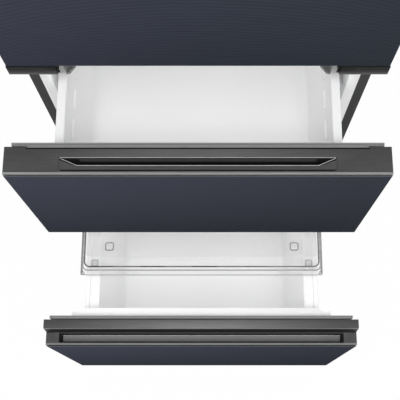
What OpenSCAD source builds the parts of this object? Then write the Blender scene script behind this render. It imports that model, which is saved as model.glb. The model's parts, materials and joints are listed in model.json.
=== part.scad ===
// Fridge freezer with one wide upper door and two full-width pull-out drawers below it.
// Millimetres, Z up, the front faces -Y. The drawers stand open as far as photographed.

/* [Cabinet] */
// Width of the cabinet and of all three fronts
cabinet_w = 650; // [620:1:690]
// Height of the cabinet top above the floor
cabinet_h = 1810; // [1750:1:1880]
// Depth of the closed appliance from the fronts to the back
closed_depth = 700; // [690:1:740]
// Thickness of the painted outer sheet
sheet_t = 1; // [0.6:0.1:1.2]
// Wall thickness of the moulded liners
liner_t = 2; // [1.5:0.1:2.5]
// Width of the steel strip seen round the cabinet's front
strip_w = 19.5; // [17:0.5:20]
// Thickness of that strip
strip_t = 1.5; // [1:0.1:2]
// Thickness of the insulated side walls
side_wall = 40; // [38:0.5:42]
// Thickness of the insulated back wall
back_wall = 55; // [45:1:60]
// Height of the base pan above the floor
base_z = 28; // [24:1:34]
// Height of the machine space at the bottom of the back
machine_h = 255; // [245:1:265]
// Depth of the machine space
machine_d = 215; // [205:1:220]
// Insulation between the machine space and the liner
machine_wall = 45; // [35:1:50]
// Height of the lower compartment's floor above its front's lower edge
floor_rise = 50; // [45:1:60]

/* [Fronts] */
// Height of the lower drawer's lower edge above the floor
lower_front_z = 45; // [43:1:50]
// Height of the lower drawer's painted front
lower_front_h = 475; // [460:1:490]
// Height of the raised bar behind the lower drawer's grip
bar_h = 33; // [30:1:36]
// Gap between the two drawer fronts
front_gap = 9; // [7:1:12]
// Height of the upper drawer's painted front
upper_front_h = 386; // [376:1:396]
// Gap between the upper drawer and the door, where the hinge sits
door_gap = 31.5; // [31:0.5:34]
// How far the door's top edge lies below the cabinet top
door_drop = 4; // [3:1:8]
// Thickness of the door and of both drawer fronts
front_t = 51.5; // [50.5:0.5:53]
// Thickness of the painted front skins
skin_t = 1.2; // [0.8:0.1:1.4]
// Radius of the skins' upright edges
skin_r = 3; // [2.5:0.5:6]
// Distance from the fronts' face to the back of the magnetic seals
seal_reach = 60; // [59:0.5:62]
// Width of the magnetic seals
seal_w = 18; // [16:0.5:18]
// Distance from the sides of the fronts to the seals
seal_side = 11; // [9:0.5:12]
// Height of the groove round the seals' bellows
seal_groove = 2; // [1:0.5:3]

/* [Caps and grips] */
// Height of the brushed top caps
cap_h = 24; // [20:1:28]
// Width of the groove between the skin and the cap
cap_groove = 1.6; // [1:0.1:2]
// Width of the bright lip along the front of the caps
lip_w = 4.5; // [4:0.1:5]
// Width and depth of the line behind the upper cap's lip
lip_line = 0.7; // [0.5:0.1:1]
// Distance from the sides to the notch over the upper seal
notch_side = 37; // [34:1:45]
// Width and depth of that notch
notch_w = 4; // [3:0.5:5]
// Depth of the upper drawer's shallow grip recess
recess_d = 2.5; // [2:0.5:4]
// Distance from the sides to the upper drawer's grip recess
recess_side = 92; // [80:1:110]
// Extent of the recess from front to back
recess_l = 25; // [22:0.5:27]
// Corner radius of the recess
recess_r = 8.5; // [6:0.5:11]
// Distance from the sides to the upper finger pocket
pocket_side = 95; // [93:1:115]
// How much the pocket narrows on each side towards its front
pocket_taper = 28.5; // [20:0.5:36]
// Length of the pocket's square rear ends
pocket_end = 2; // [1:0.5:4]
// Extent of the pocket from front to back
pocket_l = 14.5; // [12:0.5:17]
// Depth of both finger pockets
pocket_d = 38; // [32:1:42]
// Wall thickness of the grip inserts
grip_t = 1.5; // [1:0.1:2]
// Distance from the sides to the lower drawer's grip slot
slot_side = 27; // [22:1:45]
// Extent of the slot from front to back
slot_l = 22.6; // [20:0.1:24]
// Lean of the raised bar's front face
bar_lean = 3.5; // [2:0.5:5]

/* [Drawers] */
// How far the upper drawer stands open
upper_open = 184.5; // [150:0.5:220]
// How far the lower drawer stands open
lower_open = 419; // [380:0.5:430]
// Distance from the compartments' sides to the bins' rims
bin_side = 35; // [33:1:45]
// Gap between the upper drawer's seal and its bin's rim
rim_clear = 2; // [1:0.5:3]
// Gap between the plugs and the bins' front walls
plug_clear = 1; // [1:0.5:2]
// Length of the upper bin
upper_bin_l = 478; // [450:1:482]
// Length of the lower bin at its rim
lower_bin_l = 505.5; // [485:0.5:510]
// Length of the lower bin's deep part
lower_deep_l = 305.5; // [285:0.5:310]
// Height of the lower bin's rear floor above its deep floor
lower_step_h = 215; // [210:1:225]
// Depth of the upper bin
upper_bin_d = 263; // [230:1:270]
// Depth of the lower bin
lower_bin_d = 388; // [370:1:390]
// Distance from the upper drawer's top edge down to its bin's rim
upper_rim_drop = 43; // [40:1:50]
// Distance from the lower drawer's painted top edge down to its bin's rim
lower_rim_drop = 17; // [15:1:22]
// Width of the upper bin's rim
upper_rim_w = 16; // [14:0.5:18]
// Width of the same rim along its front
upper_rim_front = 8; // [7:0.5:10]
// Depth of the front shoulder that passes over the plug
shoulder_drop = 23; // [22:0.5:24]
// Width of the lower bin's rim
lower_rim_w = 31; // [29:0.5:33]
// Width of the raised outer band of the lower bin's rim
rim_band = 9.5; // [8:0.5:11]
// Height of the rims' edges
rim_h = 6; // [5:0.5:8]
// Depth of the channel in the lower bin's rim
rim_channel = 3.5; // [2.5:0.5:4]
// Distance from the lower bin's front to the stops in its channel
stop_start = 27; // [22:1:32]
// Thickness of those stops
stop_t = 2; // [1.5:0.5:3]
// Wall thickness of the bins
bin_t = 2.5; // [2:0.1:3]
// How far the bins' walls lean in from top to bottom
bin_draft = 9; // [6:0.5:12]
// Fillet radius between the bins' walls and floor
bin_fillet = 22; // [16:1:26]
// Corner radius of the bins' rims
bin_r = 26; // [24:1:32]
// Radius of the bins' two front corners
bin_front_r = 6; // [4:0.5:8]
// Length of one ledge rib in the upper bin
rib_l = 38; // [34:1:42]
// Pitch of the ledge ribs
rib_pitch = 60; // [54:1:66]
// Distance from the rim down to the ledge ribs
rib_drop = 62; // [55:1:75]
// Distance from the bin's front to the first ledge rib
rib_start = 42; // [38:1:50]
// Thickness of the ledge ribs
rib_t = 3; // [2:0.5:4]
// How far the first tier of the liner plug reaches behind the front's face
plug_reach = 71; // [70:0.5:72]
// How much further the plug's second tier reaches
plug_tier = 7.5; // [6:0.5:8]
// Distance from the compartments' sides to the plug
plug_side = 14; // [13.5:0.5:20]
// Inset of the second tier
plug_inset = 16; // [12:0.5:18]
// How much the second tier narrows on each side towards its back
plug_taper = 9; // [6:0.5:12]

/* [Tray] */
// How far the clear tray's flange passes the bin's rim on each side
tray_over = 8; // [4:0.5:10]
// Length of the tray
tray_l = 300; // [280:1:310]
// Distance from the lower front's face to the tray at rest
tray_start = 148.3; // [146:0.1:152]
// Height of the tray from the underside of its floor to its flange
tray_h = 22; // [18:1:23]
// Wall thickness of the tray
tray_t = 2.2; // [1.8:0.1:2.6]
// Width of the tray's side flanges
tray_side = 10; // [8:0.5:12]
// Width of the tray's front flange
tray_front = 19.5; // [18:0.5:22]
// Width of the raised outer part of the front flange
tray_band = 11; // [9:0.5:13]
// Run of the tray's sloped front wall
tray_slope = 25.5; // [22:0.5:30]
// Length of one tray glide
glide_l = 14.5; // [12:0.5:18]
// Width of one tray glide
glide_w = 13; // [12:0.5:15]
// Distance from the tray's ends to its glides
glide_in = 24; // [20:1:40]
// Side of the ring marks in the tray's floor
mark_w = 20; // [16:0.5:22]
// Distance of the ring marks from the middle
mark_x = 200.5; // [190:0.5:205]
// Distance from the tray's slope to the middle of the ring marks
mark_back = 22.5; // [18:0.5:28]

/* [Slides] */
// Distance from the compartments' walls to the fixed channels
slide_in = 25; // [24:0.5:26]
// Height of the fixed slide channel
rail_h = 44; // [40:1:48]
// Width of the nested slide channels
rail_w = 12.5; // [12:0.1:13]
// Thickness of the slide channels
rail_t = 1.2; // [1:0.1:1.4]
// Running clearance between the slide channels
rail_gap = 0.4; // [0.3:0.05:0.6]
// Full travel of each drawer from closed
full_travel = 440; // [435:1:442]
// How much longer the slide channels are than the travel
rail_spare = 10; // [6:1:14]
// Distance from the upper bin's rim down to its slides' middle
rail_drop = 190; // [180:1:200]
// Thickness of the bin brackets
bracket_t = 2; // [1.5:0.1:2.5]

/* [Upper compartment] */
// Thickness of the glass shelves
shelf_t = 4; // [3.5:0.5:5]
// Height of the shelves' front trims
shelf_trim_h = 16; // [12:1:20]
// Thickness of the shelves' trims
shelf_trim_t = 6; // [4:0.5:8]
// Distance from the cabinet's front to the shelves
shelf_start = 135; // [130:1:150]
// Width of the ledges that carry the shelves
ledge_w = 6; // [5:0.5:8]
// Depth of the air duct's cover
duct_d = 38; // [34:1:42]
// Width of the air duct's cover
duct_w = 300; // [260:1:340]
// Depth of the door bins
door_bin_d = 95; // [85:1:100]
// Height of the door bins
door_bin_h = 90; // [80:1:100]
// Distance from the ends of the door's plug to the door bins
door_bin_side = 6; // [4:1:20]
// Wall thickness of the door bins
door_bin_t = 2.5; // [2:0.5:3]
// Depth of the grip channel in the door's free edge
edge_grip_d = 22; // [18:1:24]
// Width of the grip channel in the door's free edge
edge_grip_w = 20; // [16:1:22]
// Length of the door's grip channel
edge_grip_l = 420; // [360:1:480]

/* [Hinges] */
// Radius of the hinge pins
pin_r = 5; // [4:0.5:6]
// Running clearance round the hinge pins
pin_gap = 0.1; // [0.05:0.01:0.1]
// Distance of the pins from the cabinet's side
pin_side = 14; // [13:0.5:18]
// Distance of the pins behind the door's face
pin_back = 28; // [25:0.5:30]
// Depth that the pins reach into the door
pin_l = 18; // [15:1:20]
// Thickness of the hinge plates
hinge_t = 4; // [3:0.5:5]
// Width of the smoked hinge covers at their underside
cover_w = 98; // [92:1:104]
// Radius of the hinge covers' lower corner
cover_r = 10; // [8:1:14]
// Angle of the hinge covers' sloped inner end
cover_angle = 62; // [55:1:70]
// Height of the hinge covers
cover_h = 28.5; // [27:0.5:28.5]
// Gap between the upper drawer and the hinge covers
cover_under = 1.5; // [1:0.1:1.8]
// How far the hinge covers stand ahead of the fronts' face
cover_ahead = 1.5; // [0.5:0.1:2]
// Wall thickness of the hinge covers
cover_t = 2; // [1.5:0.1:2.5]
// Width of the dark hinge plate behind each cover
hinge_w = 88; // [84:1:94]

/* [Base and machine] */
// Radius of the levelling feet
foot_r = 20; // [17:1:22]
// Radius of the feet's threaded stems
stem_r = 5; // [4:0.5:6]
// Distance of the feet from the sides
foot_side = 45; // [40:1:55]
// Radius of the rear rollers
roller_r = 12; // [10:0.5:12]
// Width of the rear rollers
roller_w = 22; // [18:1:26]
// Radius of the rollers' axles
axle_r = 3; // [2.5:0.5:4]
// Radius of the compressor's shell
compressor_r = 62; // [56:1:66]
// Height of the compressor's shell
compressor_h = 165; // [150:1:172]
// Number of slots across the rear cover
vent_count = 12; // [8:1:14]
// Number of fins on the evaporator
fin_count = 16; // [10:1:20]
// Radius of the circulation fan
fan_r = 48; // [44:1:52]
// Number of fan blades
blade_count = 5; // [3:1:7]

/* [Hidden] */

// Overrun of every cut, seat between pieces that meet, and facets of a rounded corner
cut = 2;
seat = 0.3;
corner_steps = 5;
$fn = 40;

// Levels of the fronts
lower_z0 = lower_front_z;
lower_z1 = lower_z0 + lower_front_h;
bar_z = lower_z1 + bar_h;
upper_z0 = bar_z + front_gap;
upper_z1 = upper_z0 + upper_front_h;
door_z0 = upper_z1 + door_gap;
door_z1 = cabinet_h - door_drop;

// Depths of the closed appliance, centred with the lower drawer open, screw heads included
screw_h = 2;
front_y = (lower_open - closed_depth) / 2;
back_y = front_y + closed_depth - screw_h;
seal_clear = 0.5;
frame_y = front_y + seal_reach + seal_clear;
upper_y = front_y - upper_open;
lower_y = front_y - lower_open;
half_w = cabinet_w / 2;
half_open = half_w - side_wall;
bin_half = half_open - bin_side;

// Seals' edges, which also set the compartments' heights
seal_top = 1;
seal_bottom = 4;
lower_ceiling = bar_z - seal_top - seal_w;
lower_floor = lower_z0 + floor_rise;
middle_floor = upper_z0 + seal_bottom + seal_w;
middle_ceiling = upper_z1 - seal_bottom + seal_groove - seal_w;
upper_floor = door_z0 + seal_bottom + seal_w;
upper_ceiling = door_z1 - seal_bottom - seal_w;
flange_up = 12;

// The fronts' plugs: half widths at their foot, their second tier and their back, and their reach
plug_half = half_open - plug_side;
tier_half = plug_half - plug_inset;
plug_back_half = tier_half - plug_taper;
plug_back = plug_reach + plug_tier;

// Machine space and the compartments' back walls
machine_y = back_y - machine_d;
machine_z = base_z + machine_h;
liner_back = back_y - back_wall;
duct_space = 85;
duct_y = liner_back - duct_space;

// Shelves
shelf_count = 3;
shelf_pitch = (upper_ceiling - upper_floor) / (shelf_count + 1);
shelf_z = [for (i = [1:shelf_count]) upper_floor + i * shelf_pitch];
shelf_half = half_open - seat;

// Heights and places of the slides
upper_rim_z = upper_z1 - upper_rim_drop;
lower_rim_z = lower_z1 - lower_rim_drop;
upper_rail_z = upper_rim_z - rail_drop;
lower_rail_z = machine_z + machine_wall + rail_h / 2 + rail_t;
rail_y = front_y + plug_back + seat;
rail_l = full_travel + rail_spare;

// A box between two opposite corners
module block(low, high) {
    translate(low) cube(high - low);
}

// The same shape on both sides of the middle plane
module both_sides() {
    children();
    mirror([1, 0, 0]) children();
}

// One round corner about a centre, from an angle on
function corner(x, y, r, from) = [
    for (i = [0:corner_steps]) let (a = from + 90 * i / corner_steps) [x + r * cos(a), y + r * sin(a)]
];

// Outline of a rectangle with round corners, anticlockwise, the two front ones with their own radius
function round_rect(x0, y0, x1, y1, r, front_r) =
    let (f = is_undef(front_r) ? r : front_r)
        concat(
            corner(x1 - r, y1 - r, r, 0), corner(x0 + r, y1 - r, r, 90),
            corner(x0 + f, y0 + f, f, 180), corner(x1 - f, y0 + f, f, 270)
        );

// Outline of a rectangle whose two front corners are round, anticlockwise
function front_round(half_x, y0, y1, r) = concat(
    [[half_x, y1], [-half_x, y1]],
    corner(-half_x + r, y0 + r, r, 180),
    corner(half_x - r, y0 + r, r, 270)
);

// One level of a loft: a rounded rectangle at a height
function level(z, half_x, y0, y1, r, front_r) = [z, round_rect(-half_x, y0, half_x, y1, r, front_r)];

// A closed solid through a stack of levels, from the outer floor over the rim to the inner floor
module loft(levels) {
    n = len(levels[0][1]);
    last = len(levels) - 1;
    points = [for (g = levels) for (p = g[1]) [p.x, p.y, g[0]]];
    walls = [
        for (k = [0:last - 1]) for (i = [0:n - 1])
            let (a = k * n + i, b = k * n + (i + 1) % n, c = a + n, d = b + n)
                each [[a, c, d], [a, d, b]]
    ];
    floor_out = [for (i = [0:n - 1]) i];
    floor_in = [for (i = [n - 1:-1:0]) last * n + i];
    polyhedron(points, concat([floor_out], walls, [floor_in]), convexity = 6);
}

// A plate in the XZ plane with its front face at y
module upright_plate(x0, x1, y, t, z0, z1) {
    block([x0, y, z0], [x1, y + t, z1]);
}

// Slot openings of a grille, upright or lying
module slots(count, x0, x1, y, t, z0, z1, open_share = 0.45) {
    pitch = (x1 - x0) / count;
    for (i = [0:count - 1])
        block([x0 + (i + 0.5 - open_share / 2) * pitch, y - cut, z0],
              [x0 + (i + 0.5 + open_share / 2) * pitch, y + t + cut, z1]);
}

// CABINET

// Folded steel sheet: the two sides and the top in one piece
module outer_shell() {
    color([0.2, 0.22, 0.27])
        difference() {
            block([-half_w, frame_y + strip_t, base_z], [half_w, back_y - sheet_t, cabinet_h]);
            block([-half_w + sheet_t, frame_y + strip_t - cut, base_z - cut],
                  [half_w - sheet_t, back_y + cut, cabinet_h - sheet_t]);
        }
}

// Back sheet with pressed ribs, down to the machine space
module back_panel() {
    rib_half = 9;
    rib_up = 1.2;
    rib_end = 90;
    rib_x_shares = [-0.32, -0.11, 0.11, 0.32];
    color([0.72, 0.73, 0.74])
        difference() {
            upright_plate(-half_w, half_w, back_y - sheet_t, sheet_t, machine_z, cabinet_h);
            for (s = rib_x_shares)
                block([s * cabinet_w - rib_half, back_y - sheet_t / 2, machine_z + rib_end],
                      [s * cabinet_w + rib_half, back_y + cut, cabinet_h - rib_end]);
        }
}

// Sheet of the base pan and height of its upturned edges
pan_t = 1.5;
pan_lip = 12;

// Bottom pan with upturned edges, the floor of the machine space too
module base_pan() {
    color([0.55, 0.56, 0.58])
        difference() {
            block([-half_w + sheet_t, frame_y + strip_t, base_z - pan_t],
                  [half_w - sheet_t, back_y - sheet_t, base_z + pan_lip]);
            block([-half_w + sheet_t + pan_t, frame_y + strip_t + pan_t, base_z],
                  [half_w - sheet_t - pan_t, back_y + cut, base_z + pan_lip + cut]);
        }
}

// Profile of the lower compartment in the YZ plane, grown by a wall
function lower_profile(grow) = [
    [frame_y - (grow > 0 ? 0 : cut), lower_floor - grow],
    [machine_y - machine_wall + grow, lower_floor - grow],
    [machine_y - machine_wall + grow, machine_z + machine_wall - grow],
    [liner_back + grow, machine_z + machine_wall - grow],
    [liner_back + grow, lower_ceiling + grow],
    [frame_y - (grow > 0 ? 0 : cut), lower_ceiling + grow]
];

// A YZ profile carried across the width
module across(half_x, profile) {
    translate([-half_x, 0, 0])
        rotate([90, 0, 90])
            linear_extrude(2 * half_x) polygon(profile);
}

// Foamed insulation between the sheets and the liners
module insulation() {
    front = frame_y + liner_t;
    color([0.93, 0.86, 0.62])
        difference() {
            block([-half_w + sheet_t, front, base_z + pan_lip + liner_t],
                  [half_w - sheet_t, back_y - sheet_t, cabinet_h - sheet_t]);
            block([-half_w, machine_y, base_z - cut], [half_w, back_y + cut, machine_z]);
            across(half_open + liner_t, lower_profile(liner_t));
            for (r = [[middle_floor, middle_ceiling], [upper_floor, upper_ceiling]])
                block([-half_open - liner_t, front - cut, r[0] - liner_t],
                      [half_open + liner_t, liner_back + liner_t, r[1] + liner_t]);
        }
}

// Front flange that every liner has round its opening
module liner_flange(z0, z1) {
    upright_plate(-half_w + strip_w, half_w - strip_w, frame_y, liner_t, z0, z1);
}

// Lower edge, upper edge of each liner's flange
lower_flange = [lower_z0 + strip_w, lower_ceiling + flange_up];
middle_flange = [middle_floor - flange_up, middle_ceiling + flange_up];
upper_flange = [upper_floor - flange_up, cabinet_h - strip_w];

// Box liner with a flange, open at the front
module box_liner(z0, z1, flange) {
    difference() {
        union() {
            liner_flange(flange[0], flange[1]);
            block([-half_open - liner_t, frame_y, z0 - liner_t],
                  [half_open + liner_t, liner_back + liner_t, z1 + liner_t]);
        }
        block([-half_open, frame_y - cut, z0], [half_open, liner_back, z1]);
    }
}

// White liner of the fridge compartment with its shelf ledges
module upper_liner() {
    ledge_t = 5;
    color("white") {
        box_liner(upper_floor, upper_ceiling, upper_flange);
        both_sides()
            for (z = shelf_z)
                block([half_open - ledge_w, frame_y + shelf_start, z - ledge_t - seat],
                      [half_open, liner_back, z - seat]);
    }
}

// White liner round the upper drawer
module middle_liner() {
    color("white") box_liner(middle_floor, middle_ceiling, middle_flange);
}

// White liner round the lower drawer, stepped over the machine space
module lower_liner() {
    color("white")
        difference() {
            union() {
                liner_flange(lower_flange[0], lower_flange[1]);
                across(half_open + liner_t, lower_profile(liner_t));
            }
            across(half_open, lower_profile(0));
        }
}

// Dark steel strips round and between the compartments
module front_frame() {
    color([0.29, 0.29, 0.29])
        difference() {
            upright_plate(-half_w, half_w, frame_y, strip_t, lower_z0, cabinet_h);
            for (r = [lower_flange, middle_flange, upper_flange])
                upright_plate(-half_w + strip_w, half_w - strip_w, frame_y - cut, strip_t + 2 * cut,
                              r[0], r[1]);
        }
}

// Louvred plinth under the lower drawer
module plinth_grille() {
    plinth_t = 2.5;
    plinth_clear = 3;
    plinth_low = 8;
    plinth_end = 60;
    slot_count = 16;
    color([0.16, 0.16, 0.17])
        difference() {
            upright_plate(-half_w + plinth_clear, half_w - plinth_clear, frame_y + strip_t - plinth_t,
                          plinth_t, plinth_low, lower_z0 - seat);
            slots(slot_count, -half_w + plinth_end, half_w - plinth_end,
                  frame_y + strip_t - plinth_t, plinth_t, plinth_low * 2, lower_z0 - plinth_low);
        }
}

// Two levelling feet with hexagon collars and threaded stems
module levelling_feet() {
    pad_h = 8;
    collar_h = 7;
    collar_r = 9;
    hex = 6;
    color([0.2, 0.2, 0.2])
        for (s = [-1, 1])
            translate([s * (half_w - foot_side), frame_y + foot_side, 0]) {
                cylinder(r = foot_r, h = pad_h);
                translate([0, 0, pad_h]) cylinder(r = collar_r, h = collar_h, $fn = hex);
                translate([0, 0, pad_h + collar_h]) cylinder(r = stem_r, h = base_z - pan_t - pad_h - collar_h);
            }
}

// Centre of one rear roller
roller_y = back_y - machine_d / 3;
fork_t = 2.5;
roller_gap = 0.5;

// Forks and axles that carry the rear rollers
module roller_brackets() {
    fork_half = roller_w / 2 + roller_gap;
    color([0.6, 0.61, 0.62])
        for (s = [-1, 1])
            translate([s * (half_w - foot_side), roller_y, 0]) {
                for (f = [-1, 1])
                    translate([f * (fork_half + fork_t / 2), 0, 0])
                        block([-fork_t / 2, -roller_r / 2, roller_r - axle_r * 2],
                              [fork_t / 2, roller_r / 2, base_z - pan_t]);
                translate([-fork_half - fork_t, 0, roller_r])
                    rotate([0, 90, 0]) cylinder(r = axle_r, h = 2 * (fork_half + fork_t));
            }
}

// One rear roller on its axle
module rear_roller(side) {
    rim_round = 2;
    color([0.15, 0.15, 0.15])
        translate([side * (half_w - foot_side) - roller_w / 2, roller_y, roller_r])
            rotate([0, 90, 0])
                rotate_extrude()
                    polygon([[axle_r + pin_gap, 0], [roller_r - rim_round, 0], [roller_r, rim_round],
                             [roller_r, roller_w - rim_round], [roller_r - rim_round, roller_w],
                             [axle_r + pin_gap, roller_w]]);
}

module rear_roller_left() {
    rear_roller(-1);
}

module rear_roller_right() {
    rear_roller(1);
}

// Place of the compressor in the machine space
compressor_x = half_w / 2;
compressor_y = back_y - machine_d / 2;

// Hermetic compressor on its rubber-footed plate, with its pipe stubs
module compressor() {
    dome_share = 0.28;
    crown_share = 0.79;
    plate_rim = 20;
    plate_half = compressor_r + plate_rim;
    plate_t = 3;
    foot_h = 14;
    grommet_r = 11;
    stub_r = 4;
    stub_l = 40;
    dome = compressor_h * dome_share;
    color([0.1, 0.1, 0.11])
        translate([compressor_x, compressor_y, base_z]) {
            for (x = [-1, 1], y = [-1, 1])
                translate([x * (plate_half - grommet_r), y * (plate_half - grommet_r), 0])
                    cylinder(r = grommet_r, h = foot_h);
            block([-plate_half, -plate_half, foot_h], [plate_half, plate_half, foot_h + plate_t]);
            translate([0, 0, foot_h + plate_t])
                rotate_extrude()
                    polygon([[0, 0], [compressor_r * crown_share, 0], [compressor_r, dome / 2],
                             [compressor_r, compressor_h - dome],
                             [compressor_r * crown_share, compressor_h - dome / 3], [0, compressor_h]]);
            translate([-compressor_r - stub_l / 2, 0, foot_h + compressor_h / 2])
                rotate([0, 90, 0]) cylinder(r = stub_r, h = stub_l);
        }
}

// Evaporation tray over the compressor's side of the machine space
module drip_tray() {
    tray_wall = 1.5;
    tray_depth = 40;
    tray_x0 = -half_w + foot_side;
    tray_x1 = -foot_side;
    tray_y0 = machine_y + foot_side / 2;
    tray_y1 = back_y - foot_side / 2;
    color([0.85, 0.86, 0.88])
        difference() {
            block([tray_x0, tray_y0, base_z], [tray_x1, tray_y1, base_z + tray_depth]);
            block([tray_x0 + tray_wall, tray_y0 + tray_wall, base_z + tray_wall],
                  [tray_x1 - tray_wall, tray_y1 - tray_wall, base_z + tray_depth + cut]);
        }
}

// Size and place of the mains inlet
inlet_w = 48;
inlet_h = 34;
inlet_side = 90;
inlet_drop = 70;
inlet_x = -half_w + inlet_side;
inlet_z = machine_z - inlet_drop;

// Louvred cover over the machine space, with the opening for the inlet
module machine_cover() {
    cover_low = 12;
    edge = 26;
    row_h = 16;
    rows = 4;
    louvre_share = 0.57;
    open_share = 0.7;
    row_pitch = machine_h * louvre_share / rows;
    color([0.62, 0.63, 0.65])
        difference() {
            upright_plate(-half_w + sheet_t, half_w - sheet_t, back_y - sheet_t, sheet_t,
                          base_z + cover_low + seat, machine_z - seat);
            for (i = [0:rows - 1])
                slots(vent_count, -half_w + edge, half_w - edge, back_y - sheet_t, sheet_t,
                      base_z + edge + i * row_pitch, base_z + edge + i * row_pitch + row_h, open_share);
            block([inlet_x - inlet_w / 2, back_y - 2 * cut, inlet_z - inlet_h / 2],
                  [inlet_x + inlet_w / 2, back_y + cut, inlet_z + inlet_h / 2]);
        }
}

// Mains inlet socket with three pins, let into the cover
module mains_inlet() {
    body_d = 26;
    face_d = 16;
    wall = 4;
    pin_half = [1, 2];
    pin_len = 11;
    pin_x = 8;
    color([0.08, 0.08, 0.08])
        translate([inlet_x, back_y - sheet_t / 2, inlet_z]) {
            difference() {
                block([-inlet_w / 2 + seat, -body_d, -inlet_h / 2 + seat],
                      [inlet_w / 2 - seat, 0, inlet_h / 2 - seat]);
                block([-inlet_w / 2 + wall, -face_d, -inlet_h / 2 + wall],
                      [inlet_w / 2 - wall, cut, inlet_h / 2 - wall]);
            }
            for (x = [-1, 0, 1])
                translate([x * pin_x, -face_d - cut, x == 0 ? pin_half[1] : -pin_half[1]])
                    block([-pin_half[0], 0, -pin_half[1]], [pin_half[0], pin_len + cut, pin_half[1]]);
        }
}

// Finned evaporator behind the upper drawer
module evaporator() {
    evap_w = 420;
    evap_up = 14;
    evap_h = 170;
    evap_front = 16;
    evap_back = 4;
    evap_z0 = middle_floor + evap_up;
    evap_y = duct_y + evap_front;
    evap_d = duct_space - evap_front - evap_back;
    fin_t = 1.2;
    tube_r = 4;
    tube_rows_shares = [0.12, 0.37, 0.62, 0.87];
    pitch = evap_w / (fin_count - 1);
    color([0.78, 0.8, 0.82]) {
        for (i = [0:fin_count - 1])
            block([-evap_w / 2 + i * pitch - fin_t / 2, evap_y, evap_z0],
                  [-evap_w / 2 + i * pitch + fin_t / 2, evap_y + evap_d, evap_z0 + evap_h]);
        for (s = tube_rows_shares)
            translate([-evap_w / 2 - tube_r, evap_y + evap_d / 2, evap_z0 + s * evap_h])
                rotate([0, 90, 0]) cylinder(r = tube_r, h = evap_w + 2 * tube_r);
        block([-evap_w / 2 - tube_r, evap_y + evap_d - fin_t, evap_z0],
              [-evap_w / 2, liner_back, evap_z0 + evap_h]);
        block([evap_w / 2, evap_y + evap_d - fin_t, evap_z0],
              [evap_w / 2 + tube_r, liner_back, evap_z0 + evap_h]);
    }
}

// Place and axis of the circulation fan
fan_down = 12;
fan_back = 22;
fan_z = middle_ceiling - fan_r - fan_down;
fan_y = duct_y + fan_back;
shaft_r = 3;

// Motor on the compartment's back wall, with the shaft that carries the fan
module fan_motor() {
    motor_r = 26;
    motor_gap = 18;
    shaft_end = 10;
    motor_l = liner_back - fan_y - motor_gap;
    color([0.3, 0.3, 0.32])
        translate([0, liner_back, fan_z])
            rotate([90, 0, 0]) {
                cylinder(r = motor_r, h = motor_l);
                cylinder(r = shaft_r, h = liner_back - fan_y + shaft_end);
            }
}

// Fan with a hub and pitched blades
module fan_wheel() {
    hub_r = 14;
    hub_l = 16;
    blade_t = 2;
    blade_pitch = 32;
    blade_w = 24;
    color([0.9, 0.9, 0.92])
        translate([0, fan_y, fan_z])
            rotate([90, 0, 0])
                difference() {
                    union() {
                        translate([0, 0, -hub_l / 2]) cylinder(r = hub_r, h = hub_l);
                        for (i = [0:blade_count - 1])
                            rotate([0, 0, i * 360 / blade_count])
                                translate([hub_r - blade_t, 0, 0])
                                    rotate([blade_pitch, 0, 0])
                                        block([0, -blade_w / 2, -blade_t / 2],
                                              [fan_r - hub_r, blade_w / 2, blade_t / 2]);
                    }
                    translate([0, 0, -hub_l]) cylinder(r = shaft_r + pin_gap, h = 2 * hub_l);
                }
}

// Cover over the evaporator, with outlet louvres in front of the fan
module freezer_duct_cover() {
    plate_t = 2.5;
    skirt = 6;
    grille_half = fan_r + 10;
    louvre_rows = 7;
    louvre_open = 7;
    row_pitch = (2 * fan_r) / louvre_rows;
    color([0.94, 0.94, 0.95])
        difference() {
            union() {
                upright_plate(-half_open + seat, half_open - seat, duct_y, plate_t,
                              middle_floor + seat, middle_ceiling - seat);
                for (z = [middle_floor + seat, middle_ceiling - seat - plate_t])
                    block([-half_open + seat, duct_y, z], [half_open - seat, duct_y + skirt, z + plate_t]);
            }
            for (i = [0:louvre_rows - 1])
                block([-grille_half, duct_y - cut, fan_z - fan_r + i * row_pitch],
                      [grille_half, duct_y + plate_t + cut, fan_z - fan_r + i * row_pitch + louvre_open]);
        }
}

// Tall air duct cover up the middle of the fridge compartment
module air_duct_cover() {
    wall = 2;
    top_gap = 60;
    vent_half = 50;
    vent_h = 8;
    vent_drop = 30;
    y0 = liner_back - duct_d;
    color([0.94, 0.94, 0.95])
        difference() {
            block([-duct_w / 2, y0, upper_floor + seat], [duct_w / 2, liner_back, upper_ceiling - top_gap]);
            block([-duct_w / 2 + wall, y0 + wall, upper_floor - cut],
                  [duct_w / 2 - wall, liner_back + cut, upper_ceiling - top_gap - wall]);
            for (z = shelf_z, s = [-1, 1])
                translate([s * duct_w / 4, 0, z + shelf_pitch - vent_drop])
                    block([-vent_half, y0 - cut, -vent_h / 2], [vent_half, y0 + wall + cut, vent_h / 2]);
        }
}

// Light lens in the fridge compartment's ceiling
module light_lens() {
    lens_w = 220;
    lens_l = 46;
    lens_h = 9;
    lens_y = frame_y + shelf_start - lens_l;
    lens_draft = 5;
    color([0.95, 0.95, 0.9])
        loft([
            level(upper_ceiling - lens_h, lens_w / 2 - lens_draft, lens_y + lens_draft,
                  lens_y + lens_l - lens_draft, lens_l / 4),
            level(upper_ceiling, lens_w / 2, lens_y, lens_y + lens_l, lens_l / 4)
        ]);
}

// Glass shelf with trims front and back
module shelf(z) {
    y0 = frame_y + shelf_start;
    y1 = liner_back - duct_d - seat;
    glass_inset = ledge_w / 2;
    color([0.8, 0.88, 0.9]) {
        block([-shelf_half + seat, y0 + shelf_trim_t, z], [shelf_half - seat, y1, z + shelf_t]);
        block([-shelf_half + ledge_w, y0, z - shelf_trim_h + shelf_t],
              [shelf_half - ledge_w, y0 + shelf_trim_t, z + shelf_t + glass_inset]);
    }
}

module shelf_1() {
    shelf(shelf_z[0]);
}

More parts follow.
